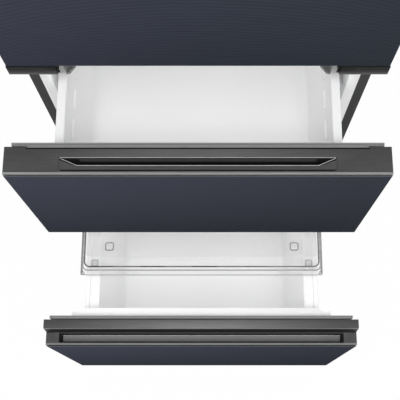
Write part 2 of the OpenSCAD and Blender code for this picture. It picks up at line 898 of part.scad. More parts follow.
module shelf_2() {
    shelf(shelf_z[1]);
}

module shelf_3() {
    shelf(shelf_z[2]);
}

// HINGES

pin_x = half_w - pin_side;
pin_y = front_y + pin_back;
hinge_arm_w = 34;
hinge_arm_l = 70;

// Top hinge plate with its downward pin
module top_hinge() {
    plate_z = cabinet_h;
    color([0.7, 0.71, 0.73]) {
        block([pin_x - hinge_arm_w + pin_r * 2, pin_y - pin_r * 2, plate_z],
              [pin_x + pin_r * 2, frame_y + hinge_arm_l, plate_z + hinge_t]);
        translate([pin_x, pin_y, door_z1 - pin_l]) cylinder(r = pin_r, h = plate_z - door_z1 + pin_l);
    }
}

// Rounded cover over the top hinge
module top_hinge_cover() {
    wall = 2;
    rise = 14;
    x0 = pin_x - hinge_arm_w - wall;
    x1 = half_w - wall;
    y0 = front_y + wall * 3;
    y1 = frame_y + hinge_arm_l + wall * 4;
    mid = (x0 + x1) / 2;
    half = (x1 - x0) / 2;
    r = 8;
    z0 = cabinet_h + seat;
    z1 = cabinet_h + hinge_t + rise;
    color([0.2, 0.21, 0.24])
        translate([mid, 0, 0])
            difference() {
                loft([level(z0, half, y0, y1, r), level(z1 - wall, half, y0, y1, r),
                      level(z1, half - wall, y0 + wall, y1 - wall, r - wall)]);
                loft([level(z0 - cut, half - wall, y0 + wall, y1 - wall, r - wall),
                      level(z1 - wall, half - wall, y0 + wall, y1 - wall, r - wall)]);
            }
}

cover_z0 = upper_z1 + cover_under;
cover_x0 = half_w - cover_w;

// Middle hinge plate with its upward pin, and the plate that blanks the other side
module middle_hinge() {
    plate_z = upper_z1 + door_gap / 2;
    flange_h = 9;
    x0 = half_w - hinge_w;
    x1 = half_w - cover_t - seat;
    y0 = front_y - cover_ahead + cover_t + seat;
    color([0.12, 0.12, 0.12]) {
        both_sides() {
            block([x0, y0, plate_z], [x1, frame_y, plate_z + hinge_t]);
            block([x0, frame_y - hinge_t, plate_z - flange_h], [x1, frame_y, plate_z + flange_h]);
            block([x0, y0, cover_z0 + cover_t + seat], [x1, y0 + hinge_t / 2, cover_z0 + cover_h - seat]);
        }
        translate([pin_x, pin_y, plate_z + hinge_t])
            cylinder(r = pin_r, h = door_z0 + pin_l - plate_z - hinge_t);
    }
}

// Outline of a hinge cover in the XZ plane, moved in by a margin, up to a level
function cover_outline(m, top) =
    let (r = cover_r - m, a = cover_angle,
         end_x = cover_x0 - r * sin(a), end_z = cover_z0 + cover_r - r * cos(a))
        concat(
            [[half_w - m, top], [end_x - (top - end_z) / tan(a), top]],
            [for (i = [corner_steps:-1:0]) let (b = a * i / corner_steps)
                [cover_x0 - r * sin(b), cover_z0 + cover_r - r * cos(b)]],
            [[half_w - m, cover_z0 + m]]
        );

// Smoked cover in the gap under one corner of the door, open at the top and the back
module hinge_cover(side) {
    z1 = cover_z0 + cover_h;
    y0 = front_y - cover_ahead;
    y1 = frame_y;
    color([0.2, 0.2, 0.2, 0.8])
        mirror([side < 0 ? 1 : 0, 0, 0])
            difference() {
                translate([0, y1, 0])
                    rotate([90, 0, 0]) linear_extrude(y1 - y0) polygon(cover_outline(0, z1));
                translate([0, y1 + cut, 0])
                    rotate([90, 0, 0])
                        linear_extrude(y1 + cut - y0 - cover_t) polygon(cover_outline(cover_t, z1 + cut));
            }
}

module hinge_cover_left() {
    hinge_cover(-1);
}

module hinge_cover_right() {
    hinge_cover(1);
}

// SLIDES

// C-shaped channel, open towards the middle, its back at x_out
module channel(x_out, w, h, t, y0, y1, zc) {
    difference() {
        block([x_out - w, y0, zc - h / 2], [x_out, y1, zc + h / 2]);
        block([x_out - w - cut, y0 - cut, zc - h / 2 + t], [x_out - t, y1 + cut, zc + h / 2 - t]);
    }
}

// Sizes of the nested channels
middle_rail_h = rail_h - 2 * (rail_t + rail_gap);
inner_rail_h = middle_rail_h - 2 * (rail_t + rail_gap);
slide_x = half_open - slide_in;
middle_rail_x = slide_x - rail_t - rail_gap;
inner_rail_x = middle_rail_x - rail_t - rail_gap;
middle_rail_w = rail_w - rail_t - rail_gap;
inner_rail_w = middle_rail_w - rail_t - rail_gap;

// Outer channels on stand-offs from the compartment's walls
module slides_fixed(zc) {
    stand_l = 60;
    color([0.75, 0.76, 0.78])
        both_sides() {
            channel(slide_x, rail_w, rail_h, rail_t, rail_y, rail_y + rail_l, zc);
            for (y = [rail_y, rail_y + (rail_l - stand_l) / 2, rail_y + rail_l - stand_l])
                block([slide_x - rail_t / 2, y, zc - rail_h / 2], [half_open, y + stand_l, zc + rail_h / 2]);
        }
}

module slides_middle(zc, open) {
    y0 = rail_y - open / 2;
    color([0.72, 0.73, 0.75])
        both_sides() channel(middle_rail_x, middle_rail_w, middle_rail_h, rail_t, y0, y0 + rail_l, zc);
}

// Inner channels with the brackets that carry the bin under its rim and hold the drawer's front
module slides_inner(zc, open, rim_under, face_y) {
    tab_w = 20;
    tab_h = 60;
    y0 = rail_y - open;
    bracket_y0 = face_y + plug_back + seat;
    bracket_y1 = y0 + rail_l - bin_fillet;
    web_x = bin_half - rim_h;
    color([0.72, 0.73, 0.75])
        both_sides() {
            channel(inner_rail_x, inner_rail_w, inner_rail_h, rail_t, y0, y0 + rail_l, zc);
            block([web_x - bracket_t, bracket_y0, zc - bracket_t / 2],
                  [inner_rail_x - rail_t / 2, bracket_y1, zc + bracket_t / 2]);
            block([web_x - bracket_t, bracket_y0, zc - bracket_t / 2], [web_x, bracket_y1, rim_under - seat]);
            block([web_x - tab_w, bracket_y0, zc - bracket_t / 2], [web_x, bracket_y0 + bracket_t, zc + tab_h]);
        }
}

module upper_slides_fixed() {
    slides_fixed(upper_rail_z);
}

module lower_slides_fixed() {
    slides_fixed(lower_rail_z);
}

module upper_slides_middle() {
    slides_middle(upper_rail_z, upper_open);
}

module lower_slides_middle() {
    slides_middle(lower_rail_z, lower_open);
}

module upper_slides_inner() {
    slides_inner(upper_rail_z, upper_open, upper_rim_z - rim_h, upper_y);
}

module lower_slides_inner() {
    slides_inner(lower_rail_z, lower_open, lower_rim_z - rim_channel - rim_h, lower_y);
}

// FRONTS

// Painted pan: the face with its upright edges and, for a drawer, its lower edge turned back
module front_skin(face_y, z0, z1, return_top, floor_t = skin_t) {
    inner_y = face_y + skin_t;
    color([0.22, 0.24, 0.29])
        difference() {
            translate([0, 0, z0])
                linear_extrude(z1 - z0) polygon(front_round(half_w, face_y, face_y + front_t, skin_r));
            translate([0, 0, floor_t > 0 ? z0 + floor_t : z0 - cut])
                linear_extrude(z1 - z0 + 2 * cut)
                    polygon(front_round(half_w - skin_t, inner_y, face_y + front_t + cut, skin_r - skin_t));
            block([-half_w - cut, inner_y, return_top], [half_w + cut, face_y + front_t + cut, z1 + cut]);
        }
}

// Magnetic seal ring with the groove of its bellows
module seal(face_y, z0, z1) {
    y0 = face_y + front_t;
    y1 = face_y + seal_reach;
    x1 = half_w - seal_side;
    mid = (y0 + y1) / 2;
    color([0.72, 0.72, 0.72])
        difference() {
            upright_plate(-x1, x1, y0, y1 - y0, z0, z1);
            upright_plate(-x1 + seal_w, x1 - seal_w, y0 - cut, y1 - y0 + 2 * cut, z0 + seal_w, z1 - seal_w);
            difference() {
                upright_plate(-x1 - cut, x1 + cut, mid, seal_groove, z0 - cut, z1 + cut);
                upright_plate(-x1 + seal_groove, x1 - seal_groove, mid - cut, seal_groove + 2 * cut,
                              z0 + seal_groove, z1 - seal_groove);
            }
        }
}

// Outline of what fills a front's skin
function core_outline(face_y) =
    front_round(half_w - skin_t, face_y + skin_t, face_y + front_t, skin_r - skin_t);

// Foamed back of a front: a core inside the skin and a two-tier plug behind the seal
module front_liner(face_y, z0, z1, plug_z0, plug_z1) {
    y0 = face_y + front_t - skin_t;
    y1 = face_y + plug_reach;
    y2 = face_y + plug_back;
    color([0.95, 0.95, 0.95])
        difference() {
            union() {
                translate([0, 0, z0 + skin_t])
                    linear_extrude(z1 - z0 - skin_t) polygon(core_outline(face_y));
                translate([0, 0, plug_z0])
                    linear_extrude(plug_z1 - plug_z0)
                        polygon([[-plug_half, y0], [plug_half, y0], [plug_half, y1], [tier_half, y1],
                                 [plug_back_half, y2], [-plug_back_half, y2], [-tier_half, y1],
                                 [-plug_half, y1]]);
            }
            children();
        }
}

// Shallow dish moulded into the middle of a plug
module plug_dish(face_y, plug_z0, plug_z1) {
    edge = 30;
    upright_plate(-plug_back_half + edge, plug_back_half - edge,
                  face_y + seal_reach + seal_clear, plug_reach, plug_z0 + edge, plug_z1 - edge);
}

// DOOR

door_bin_levels_shares = [0.08, 0.38, 0.68];
plug_gap = 4;
door_plug_z0 = upper_floor + plug_gap;
door_plug_z1 = upper_ceiling - plug_gap;
door_mid_z = (door_z0 + door_z1) / 2;
grip_low_share = 0.8;
end_cap_h = 26;

// Grip channel in the door's free edge
module edge_grip() {
    block([-half_w - cut, front_y + front_t - edge_grip_w, door_mid_z - edge_grip_l * grip_low_share],
          [-half_w + edge_grip_d, front_y + front_t + cut,
           door_mid_z + edge_grip_l * (1 - grip_low_share)]);
}

module door_skin() {
    difference() {
        front_skin(front_y, door_z0, door_z1, door_z1, 0);
        edge_grip();
    }
}

// End cap inside the door's skin with the bore for a hinge pin
module door_end_cap(z0, z1, bore_z) {
    color([0.2, 0.21, 0.25])
        difference() {
            translate([0, 0, z0])
                linear_extrude(z1 - z0) polygon(core_outline(front_y));
            translate([pin_x, pin_y, bore_z]) cylinder(r = pin_r + pin_gap, h = pin_l + cut);
        }
}

module door_top_cap() {
    door_end_cap(door_z1 - end_cap_h, door_z1, door_z1 - pin_l - seat);
}

module door_bottom_cap() {
    door_end_cap(door_z0, door_z0 + end_cap_h, door_z0 - cut + seat);
}

module door_liner() {
    difference() {
        front_liner(front_y, door_z0 + end_cap_h - skin_t, door_z1 - end_cap_h, door_plug_z0, door_plug_z1)
            plug_dish(front_y, door_plug_z0, door_plug_z1);
        edge_grip();
    }
}

module door_seal() {
    seal(front_y, door_z0 + seal_bottom, door_z1 - seal_bottom);
}

// Open-topped balcony on the door's liner
module door_bin(share) {
    z0 = door_plug_z0 + share * (door_plug_z1 - door_plug_z0);
    y0 = front_y + plug_back;
    y1 = y0 + door_bin_d;
    r = 14;
    half = plug_back_half - door_bin_side;
    lean = 6;
    color([0.92, 0.95, 0.96])
        loft([
            level(z0, half - lean, y0 + seat, y1 - lean, r),
            level(z0 + door_bin_h, half, y0 + seat, y1, r),
            level(z0 + door_bin_h, half - door_bin_t, y0 + seat + door_bin_t, y1 - door_bin_t, r - door_bin_t),
            level(z0 + door_bin_t, half - lean - door_bin_t, y0 + seat + door_bin_t,
                  y1 - lean - door_bin_t, r - door_bin_t)
        ]);
}

module door_bin_1() {
    door_bin(door_bin_levels_shares[0]);
}

module door_bin_2() {
    door_bin(door_bin_levels_shares[1]);
}

module door_bin_3() {
    door_bin(door_bin_levels_shares[2]);
}

// UPPER DRAWER

upper_seal_z0 = upper_z0 + seal_bottom;
upper_seal_z1 = middle_ceiling + seal_w;
upper_plug_z0 = middle_floor + plug_gap;
upper_plug_z1 = upper_rim_z - shoulder_drop - rim_clear;
recess_back = 1.1;
recess_y0 = upper_y + skin_t + cap_groove + lip_w + recess_back;
recess_y1 = recess_y0 + recess_l;
pocket_half = half_w - pocket_side;

module upper_drawer_skin() {
    front_skin(upper_y, upper_z0, upper_z1 - cap_groove, upper_z1 - cap_h);
}

// Outline of the finger pocket, wide at the back, moved out evenly by a margin
function pocket_outline(m) =
    let (y0 = recess_y1 - pocket_l, y1 = recess_y1 - grip_t, run = y1 - pocket_end - y0,
         slant = norm([pocket_taper, run]),
         front_x = pocket_half - pocket_taper + m * (slant - pocket_taper) / run,
         side_y = y1 - pocket_end - m * (slant - run) / pocket_taper)
        [
            [-front_x, y0 - m], [front_x, y0 - m], [pocket_half + m, side_y], [pocket_half + m, y1 + m],
            [-pocket_half - m, y1 + m], [-pocket_half - m, side_y]
        ];

// Brushed top cap with a front lip, a recess and the mouth of the finger pocket
module upper_drawer_cap() {
    y0 = upper_y + skin_t + cap_groove;
    color([0.3, 0.3, 0.3])
        difference() {
            block([-half_w, y0, upper_z1 - cap_h], [half_w, upper_y + front_t, upper_z1]);
            block([-half_w - cut, y0 + lip_w, upper_z1 - lip_line],
                  [half_w + cut, y0 + lip_w + lip_line, upper_z1 + cut]);
            block([notch_side - half_w, upper_y + front_t - notch_w, upper_z1 - notch_w],
                  [half_w - notch_side, upper_y + front_t + cut, upper_z1 + cut]);
            translate([0, 0, upper_z1 - recess_d])
                linear_extrude(recess_d + cut)
                    polygon(front_round(half_w - recess_side, recess_y0, recess_y1, recess_r));
            translate([0, 0, upper_z1 - cap_h - cut])
                linear_extrude(cap_h + cut) polygon(pocket_outline(grip_t + seat));
        }
}

// Dark cup that lines the finger pocket
module upper_drawer_grip() {
    top = upper_z1 - recess_d;
    color([0.1, 0.1, 0.1])
        difference() {
            translate([0, 0, top - pocket_d]) linear_extrude(pocket_d) polygon(pocket_outline(grip_t));
            translate([0, 0, top - pocket_d + grip_t]) linear_extrude(pocket_d) polygon(pocket_outline(0));
        }
}

module upper_drawer_liner() {
    top = upper_z1 - cap_h;
    front_liner(upper_y, upper_z0, top, upper_plug_z0, upper_plug_z1) {
        plug_dish(upper_y, upper_plug_z0, upper_plug_z1);
        translate([0, 0, upper_z1 - recess_d - pocket_d - seat])
            linear_extrude(pocket_d) polygon(pocket_outline(grip_t + seat));
    }
}

module upper_drawer_seal() {
    seal(upper_y, upper_seal_z0, upper_seal_z1);
}

// Levels of a bin's fillet, from the floor up or from the wall down
function fillet_levels(z, half_x, y0, y1, r, f, up) = [
    for (i = [0:corner_steps])
        let (k = up ? i : corner_steps - i, a = 90 * k / corner_steps, inset = f * (1 - sin(a)))
            level(z + f * (1 - cos(a)), half_x - inset, y0 + inset, y1 - inset, max(r - inset, r / 3))
];

// Upper freezer bin: drafted walls, big fillets, a flat rim and a shoulder that passes over the plug
module upper_bin() {
    y0 = upper_y + seal_reach + rim_clear;
    y1 = y0 + upper_bin_l;
    low_y = upper_y + plug_back + plug_clear;
    half = bin_half;
    z1 = upper_rim_z;
    z0 = z1 - upper_bin_d;
    edge = rim_h / 4;
    wall = upper_rim_w + bin_draft;
    top = upper_rim_w - bin_t;
    front = y0 + upper_rim_front;
    step_z = z1 - shoulder_drop;
    step_rise = rim_h;
    step_in = upper_rim_w + bin_draft * shoulder_drop / upper_bin_d;
    rib_count = floor((upper_bin_l - rib_start - wall - rib_l) / rib_pitch);
    rib_z = z1 - rib_drop;
    rib_in = upper_rim_w + bin_draft * rib_drop / upper_bin_d;
    f = bin_front_r;
    color([0.96, 0.96, 0.97]) {
        loft(concat(
            fillet_levels(z0, half - wall + bin_t, low_y + bin_draft, y1 - wall + bin_t, bin_r,
                          bin_fillet, true),
            [
                level(step_z, half - step_in + bin_t, low_y, y1 - step_in + bin_t, bin_r, f),
                level(step_z + step_rise, half - top - edge / 2, front - bin_t, y1 - top - edge / 2, bin_r, f),
                level(z1 - rim_h, half - top, front - bin_t, y1 - top, bin_r, f),
                level(z1 - rim_h, half - edge, y0 + edge, y1 - edge, bin_r, f),
                level(z1 - edge, half, y0, y1, bin_r, f),
                level(z1, half - edge, y0 + edge, y1 - edge, bin_r, f),
                level(z1, half - upper_rim_w + edge, front - edge, y1 - upper_rim_w + edge, bin_r, f),
                level(z1 - edge, half - upper_rim_w, front, y1 - upper_rim_w, bin_r, f),
                level(step_z + step_rise + bin_t, half - upper_rim_w - edge / 2, front,
                      y1 - upper_rim_w - edge / 2, bin_r, f),
                level(step_z + bin_t, half - step_in, low_y + bin_t, y1 - step_in, bin_r, f)
            ],
            fillet_levels(z0 + bin_t, half - wall, low_y + bin_draft + bin_t, y1 - wall, bin_r,
                          bin_fillet - bin_t, false)
        ));
        both_sides()
            for (i = [0:rib_count])
                translate([0, y0 + rib_start + i * rib_pitch, 0])
                    block([half - rib_in - rib_t, 0, rib_z - rib_t], [half - rib_in + bin_t / 2, rib_l, rib_z]);
    }
}

// LOWER DRAWER

lower_seal_z0 = lower_z0 + seal_bottom;
lower_seal_z1 = bar_z - seal_top;
lower_plug_z0 = lower_floor + plug_gap;
lower_plug_z1 = lower_ceiling - plug_gap + plug_clear;
slot_half = half_w - slot_side;
slot_y0 = lower_y + skin_t + cap_groove + lip_w - seat;
slot_y1 = slot_y0 + slot_l;
bar_y = lower_y + front_t;

module lower_drawer_skin() {
    front_skin(lower_y, lower_z0, lower_z1 - cap_groove, lower_z1 - cap_h);
}

// Brushed top cap: front block, grip slot and the raised bar behind it
module lower_drawer_cap() {
    y0 = lower_y + skin_t + cap_groove;
    profile = [
        [y0, lower_z1 - cap_h], [bar_y, lower_z1 - cap_h], [bar_y, bar_z],
        [slot_y1 + bar_lean, bar_z], [slot_y1, lower_z1], [y0, lower_z1]
    ];
    color([0.36, 0.36, 0.36])
        difference() {
            across(half_w, profile);
            block([-slot_half, slot_y0, lower_z1 - cap_h - cut],
                  [slot_half, slot_y1 - seat, lower_z1 + cut]);
        }
}

// Dark trough that lines the grip slot
module lower_drawer_grip() {
    top = lower_z1 - seat;
    color([0.12, 0.12, 0.12])
        difference() {
            block([-slot_half + seat, slot_y0 + seat, top - pocket_d - grip_t],
                  [slot_half - seat, slot_y1 - 2 * seat, top]);
            block([-slot_half + seat + grip_t, slot_y0 + seat + grip_t, top - pocket_d],
                  [slot_half - seat - grip_t, slot_y1 - 2 * seat - grip_t, top + cut]);
        }
}

module lower_drawer_liner() {
    top = lower_z1 - cap_h;
    front_liner(lower_y, lower_z0, top, lower_plug_z0, lower_plug_z1) {
        plug_dish(lower_y, lower_plug_z0, lower_plug_z1);
        block([-slot_half, slot_y0, lower_z1 - pocket_d - grip_t - 2 * seat], [slot_half, slot_y1, top + cut]);
        block([-half_w, lower_y, top], [half_w, bar_y, bar_z + cut]);
    }
}

module lower_drawer_seal() {
    seal(lower_y, lower_seal_z0, lower_seal_z1);
}

// Lower bin: deep at the front, stepped up over the machine space, with a channelled rim
module lower_bin() {
    y0 = lower_y + plug_back + plug_clear;
    y1 = y0 + lower_bin_l;
    half = bin_half;
    z1 = lower_rim_z;
    z0 = z1 - lower_bin_d;
    edge = rim_h / 4;
    wall = lower_rim_w + bin_draft;
    top = lower_rim_w - bin_t;
    step_z = z0 + lower_step_h;
    step_rise = bin_fillet;
    ys = y1 - lower_bin_l + lower_deep_l;
    mid = wall - bin_draft / 2;
    low_y = y0 + bin_draft;
    mid_y = y0 + bin_draft / 2;
    under = z1 - rim_channel - rim_h;
    f = bin_front_r;
    // The rim has no flange along the front, so its insets shrink to the wall's thickness there
    function front(inset) = y0 + inset * bin_t / lower_rim_w;
    function rim(z, inset) = level(z, half - inset, front(inset), y1 - inset, bin_r, f);
    color([0.96, 0.96, 0.97]) {
        both_sides()
            block([half - lower_rim_w + edge, y0 + stop_start, z1 - rim_channel - edge],
                  [half - rim_band - edge / 2, y0 + stop_start + stop_t, z1 - seat]);
        loft(concat(
            fillet_levels(z0, half - wall + bin_t, low_y, ys, bin_r, bin_fillet, true),
            [
                level(step_z, half - mid + bin_t, mid_y, ys, bin_r),
                level(step_z + step_rise / 2, half - mid + bin_t, mid_y, y1 - mid - bin_fillet, bin_r),
                level(step_z + step_rise, half - mid + bin_t, mid_y, y1 - mid + bin_t, bin_r),
                level(under, half - top, front(2 * edge), y1 - top, bin_r, f),
                rim(under, edge),
                rim(z1 - edge, 0),
                rim(z1, edge),
                rim(z1, rim_band),
                rim(z1 - rim_channel, rim_band + edge),
                rim(z1 - rim_channel, lower_rim_w - edge),
                rim(z1 - rim_channel - edge, lower_rim_w),
                level(step_z + step_rise + bin_t, half - mid, mid_y + bin_t, y1 - mid, bin_r),
                level(step_z + step_rise / 2 + bin_t, half - mid, mid_y + bin_t, y1 - mid - bin_fillet - bin_t,
                      bin_r),
                level(step_z + bin_t, half - mid, mid_y + bin_t, ys - bin_t, bin_r)
            ],
            fillet_levels(z0 + bin_t, half - wall, low_y + bin_t, ys - bin_t, bin_r, bin_fillet - bin_t, false)
        ));
    }
}

// TRAY

tray_y0 = lower_y + tray_start;
tray_y1 = tray_y0 + tray_l;
tray_z0 = lower_rim_z + rim_channel + seat;
tray_z1 = tray_z0 + tray_h;
glide_x = bin_half - rim_band - glide_w / 2 - rim_h / 2;

// Clear shallow tray with a sloped front wall and a flange all round
module tray() {
    half = bin_half + tray_over;
    edge = tray_t / 2;
    side = tray_side;
    front = tray_front;
    r = 12;
    slope = tray_slope;
    band = tray_band;
    lean = side / 2;
    rear = side * 2;
    module ring_mark(s) {
        ring_y = tray_y0 + front + slope + mark_back;
        ring_t = 1.2;
        translate([s * mark_x, ring_y, tray_z0 + tray_t])
            difference() {
                block([-mark_w / 2, -mark_w / 2, -ring_t], [mark_w / 2, mark_w / 2, ring_t / 2]);
                block([-mark_w / 2 + ring_t, -mark_w / 2 + ring_t, -2 * ring_t],
                      [mark_w / 2 - ring_t, mark_w / 2 - ring_t, ring_t]);
            }
    }
    color([0.8, 0.85, 0.88, 0.45]) {
        loft([
            level(tray_z0, half - side - lean + tray_t, tray_y0 + front + slope - tray_t,
                  tray_y1 - rear + tray_t, r),
            level(tray_z1 - tray_t - edge, half - side + tray_t, tray_y0 + front - tray_t,
                  tray_y1 - side + tray_t, r),
            level(tray_z1 - tray_t - edge, half - edge, tray_y0 + edge, tray_y1 - edge, r),
            level(tray_z1 - edge, half, tray_y0, tray_y1, r),
            level(tray_z1, half - edge, tray_y0 + edge, tray_y1 - edge, r),
            level(tray_z1, half - edge * 3, tray_y0 + band, tray_y1 - edge * 3, r),
            level(tray_z1 - edge, half - edge * 4, tray_y0 + band + edge, tray_y1 - edge * 4, r),
            level(tray_z1 - edge, half - side, tray_y0 + front, tray_y1 - side, r - edge),
            level(tray_z0 + tray_t, half - side - lean, tray_y0 + front + slope, tray_y1 - rear, r - edge)
        ]);
        for (s = [-1, 1]) ring_mark(s);
    }
}

// Four clear glides that run in the channels of the bin's rim
module tray_glides() {
    z0 = lower_rim_z - rim_channel + seat;
    color([0.85, 0.88, 0.9, 0.6])
        both_sides()
            for (y = [tray_y0 + glide_in, tray_y1 - glide_in - glide_l])
                block([glide_x - glide_w / 2, y, z0], [glide_x + glide_w / 2, y + glide_l, tray_z0]);
}

// FASTENERS

// Screws of the hinges and of the machine cover
module screws() {
    head_r = 4;
    drive = 6;
    cover_edge = 14;
    hinge_shares = [0.2, 0.5, 0.8];
    module screw() {
        difference() {
            cylinder(r = head_r, h = screw_h);
            translate([0, 0, screw_h / 2]) cylinder(r = head_r / 2, h = screw_h, $fn = drive);
        }
    }
    color([0.75, 0.75, 0.77]) {
        for (s = hinge_shares)
            translate([pin_x - hinge_arm_w / 2 + pin_r * 2, frame_y + s * hinge_arm_l, cabinet_h + hinge_t])
                screw();
        for (s = [-1, 1], z = [base_z + 2 * cover_edge, machine_z - cover_edge])
            translate([s * (half_w - cover_edge), back_y, z]) rotate([-90, 0, 0]) screw();
    }
}

outer_shell();
back_panel();
base_pan();
insulation();
upper_liner();
middle_liner();
lower_liner();
front_frame();
plinth_grille();
levelling_feet();
roller_brackets();
rear_roller_left();
rear_roller_right();
compressor();
drip_tray();
machine_cover();
mains_inlet();
evaporator();
fan_motor();
fan_wheel();
freezer_duct_cover();
air_duct_cover();
light_lens();
shelf_1();
shelf_2();
shelf_3();
top_hinge();
top_hinge_cover();
middle_hinge();
hinge_cover_left();
hinge_cover_right();
upper_slides_fixed();
lower_slides_fixed();
door_skin();
door_top_cap();
door_bottom_cap();
door_liner();
door_seal();
door_bin_1();
door_bin_2();
door_bin_3();
upper_drawer_skin();
upper_drawer_cap();
upper_drawer_grip();
upper_drawer_liner();
upper_drawer_seal();
upper_bin();
upper_slides_inner();
upper_slides_middle();
lower_drawer_skin();
lower_drawer_cap();
lower_drawer_grip();
lower_drawer_liner();
lower_drawer_seal();
lower_bin();
lower_slides_inner();
lower_slides_middle();
tray();
tray_glides();
screws();
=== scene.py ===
"""Looks of the fridge freezer: camera, studio, procedural materials and the fine pieces over the CAD frame.

Places and lengths are in metres in the CAD's frame, where X points right, Y to the back and Z up.
"""

import json
import math

import bmesh
import bpy
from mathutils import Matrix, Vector


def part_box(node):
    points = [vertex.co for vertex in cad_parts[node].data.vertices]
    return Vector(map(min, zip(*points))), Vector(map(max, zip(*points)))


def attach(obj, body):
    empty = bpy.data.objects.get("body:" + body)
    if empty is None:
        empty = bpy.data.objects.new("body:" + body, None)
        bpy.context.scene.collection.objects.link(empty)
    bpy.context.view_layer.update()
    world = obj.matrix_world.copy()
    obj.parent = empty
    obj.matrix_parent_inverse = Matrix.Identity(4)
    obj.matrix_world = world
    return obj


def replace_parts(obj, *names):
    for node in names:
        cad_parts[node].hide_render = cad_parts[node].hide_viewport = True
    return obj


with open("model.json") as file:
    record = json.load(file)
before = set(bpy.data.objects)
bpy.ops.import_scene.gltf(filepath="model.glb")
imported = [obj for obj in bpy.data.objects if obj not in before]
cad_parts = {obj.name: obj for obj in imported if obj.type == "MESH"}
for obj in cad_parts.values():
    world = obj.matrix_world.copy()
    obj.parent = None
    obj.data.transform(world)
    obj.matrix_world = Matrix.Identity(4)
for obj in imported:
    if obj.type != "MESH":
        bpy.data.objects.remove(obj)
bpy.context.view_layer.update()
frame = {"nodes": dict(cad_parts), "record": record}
nodes = frame["nodes"]

# Camera of the photograph, in metres, degrees and pixels
CAMERA_X = 0.0286
CAMERA_AHEAD_OF_DOOR = 0.5985
CAMERA_HEIGHT = 2.225
CAMERA_TILT = 16.26
FOCAL_PIXELS = 809
FRAME_PIXELS = 400
AXIS_PIXEL_X = 215
SENSOR_MM = 36
VIEW_LIMIT = 100


def add_camera():
    """A long lens looking steeply down at the open drawers."""
    data = bpy.data.cameras.new("photo_camera")
    data.sensor_width = SENSOR_MM
    data.sensor_fit = "HORIZONTAL"
    data.lens = FOCAL_PIXELS / FRAME_PIXELS * SENSOR_MM
    data.shift_x = (FRAME_PIXELS / 2 - AXIS_PIXEL_X) / FRAME_PIXELS
    data.clip_end = VIEW_LIMIT
    camera = bpy.data.objects.new("photo_camera", data)
    door_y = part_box("door_skin")[0][1]
    camera.location = (CAMERA_X, door_y - CAMERA_AHEAD_OF_DOOR, CAMERA_HEIGHT)
    camera.rotation_euler = (math.radians(CAMERA_TILT), 0, 0)
    bpy.context.scene.collection.objects.link(camera)
    bpy.context.scene.camera = camera


add_camera()

# Sockets of the Mix node when it blends colours
MIX_FACTOR, MIX_FIRST, MIX_SECOND, MIX_RESULT = 0, 6, 7, 2

# Levels between which most of a noise texture lies, and levels of a cosine between which a wave's mask rises
NOISE_LOW, NOISE_HIGH = 0.3, 0.7
WAVE_NONE, WAVE_FULL = 0.2, 0.0

# Height of the middle of the film's faint rings
RINGS_HEIGHT = 0.45


def grey(level):
    return level, level, level


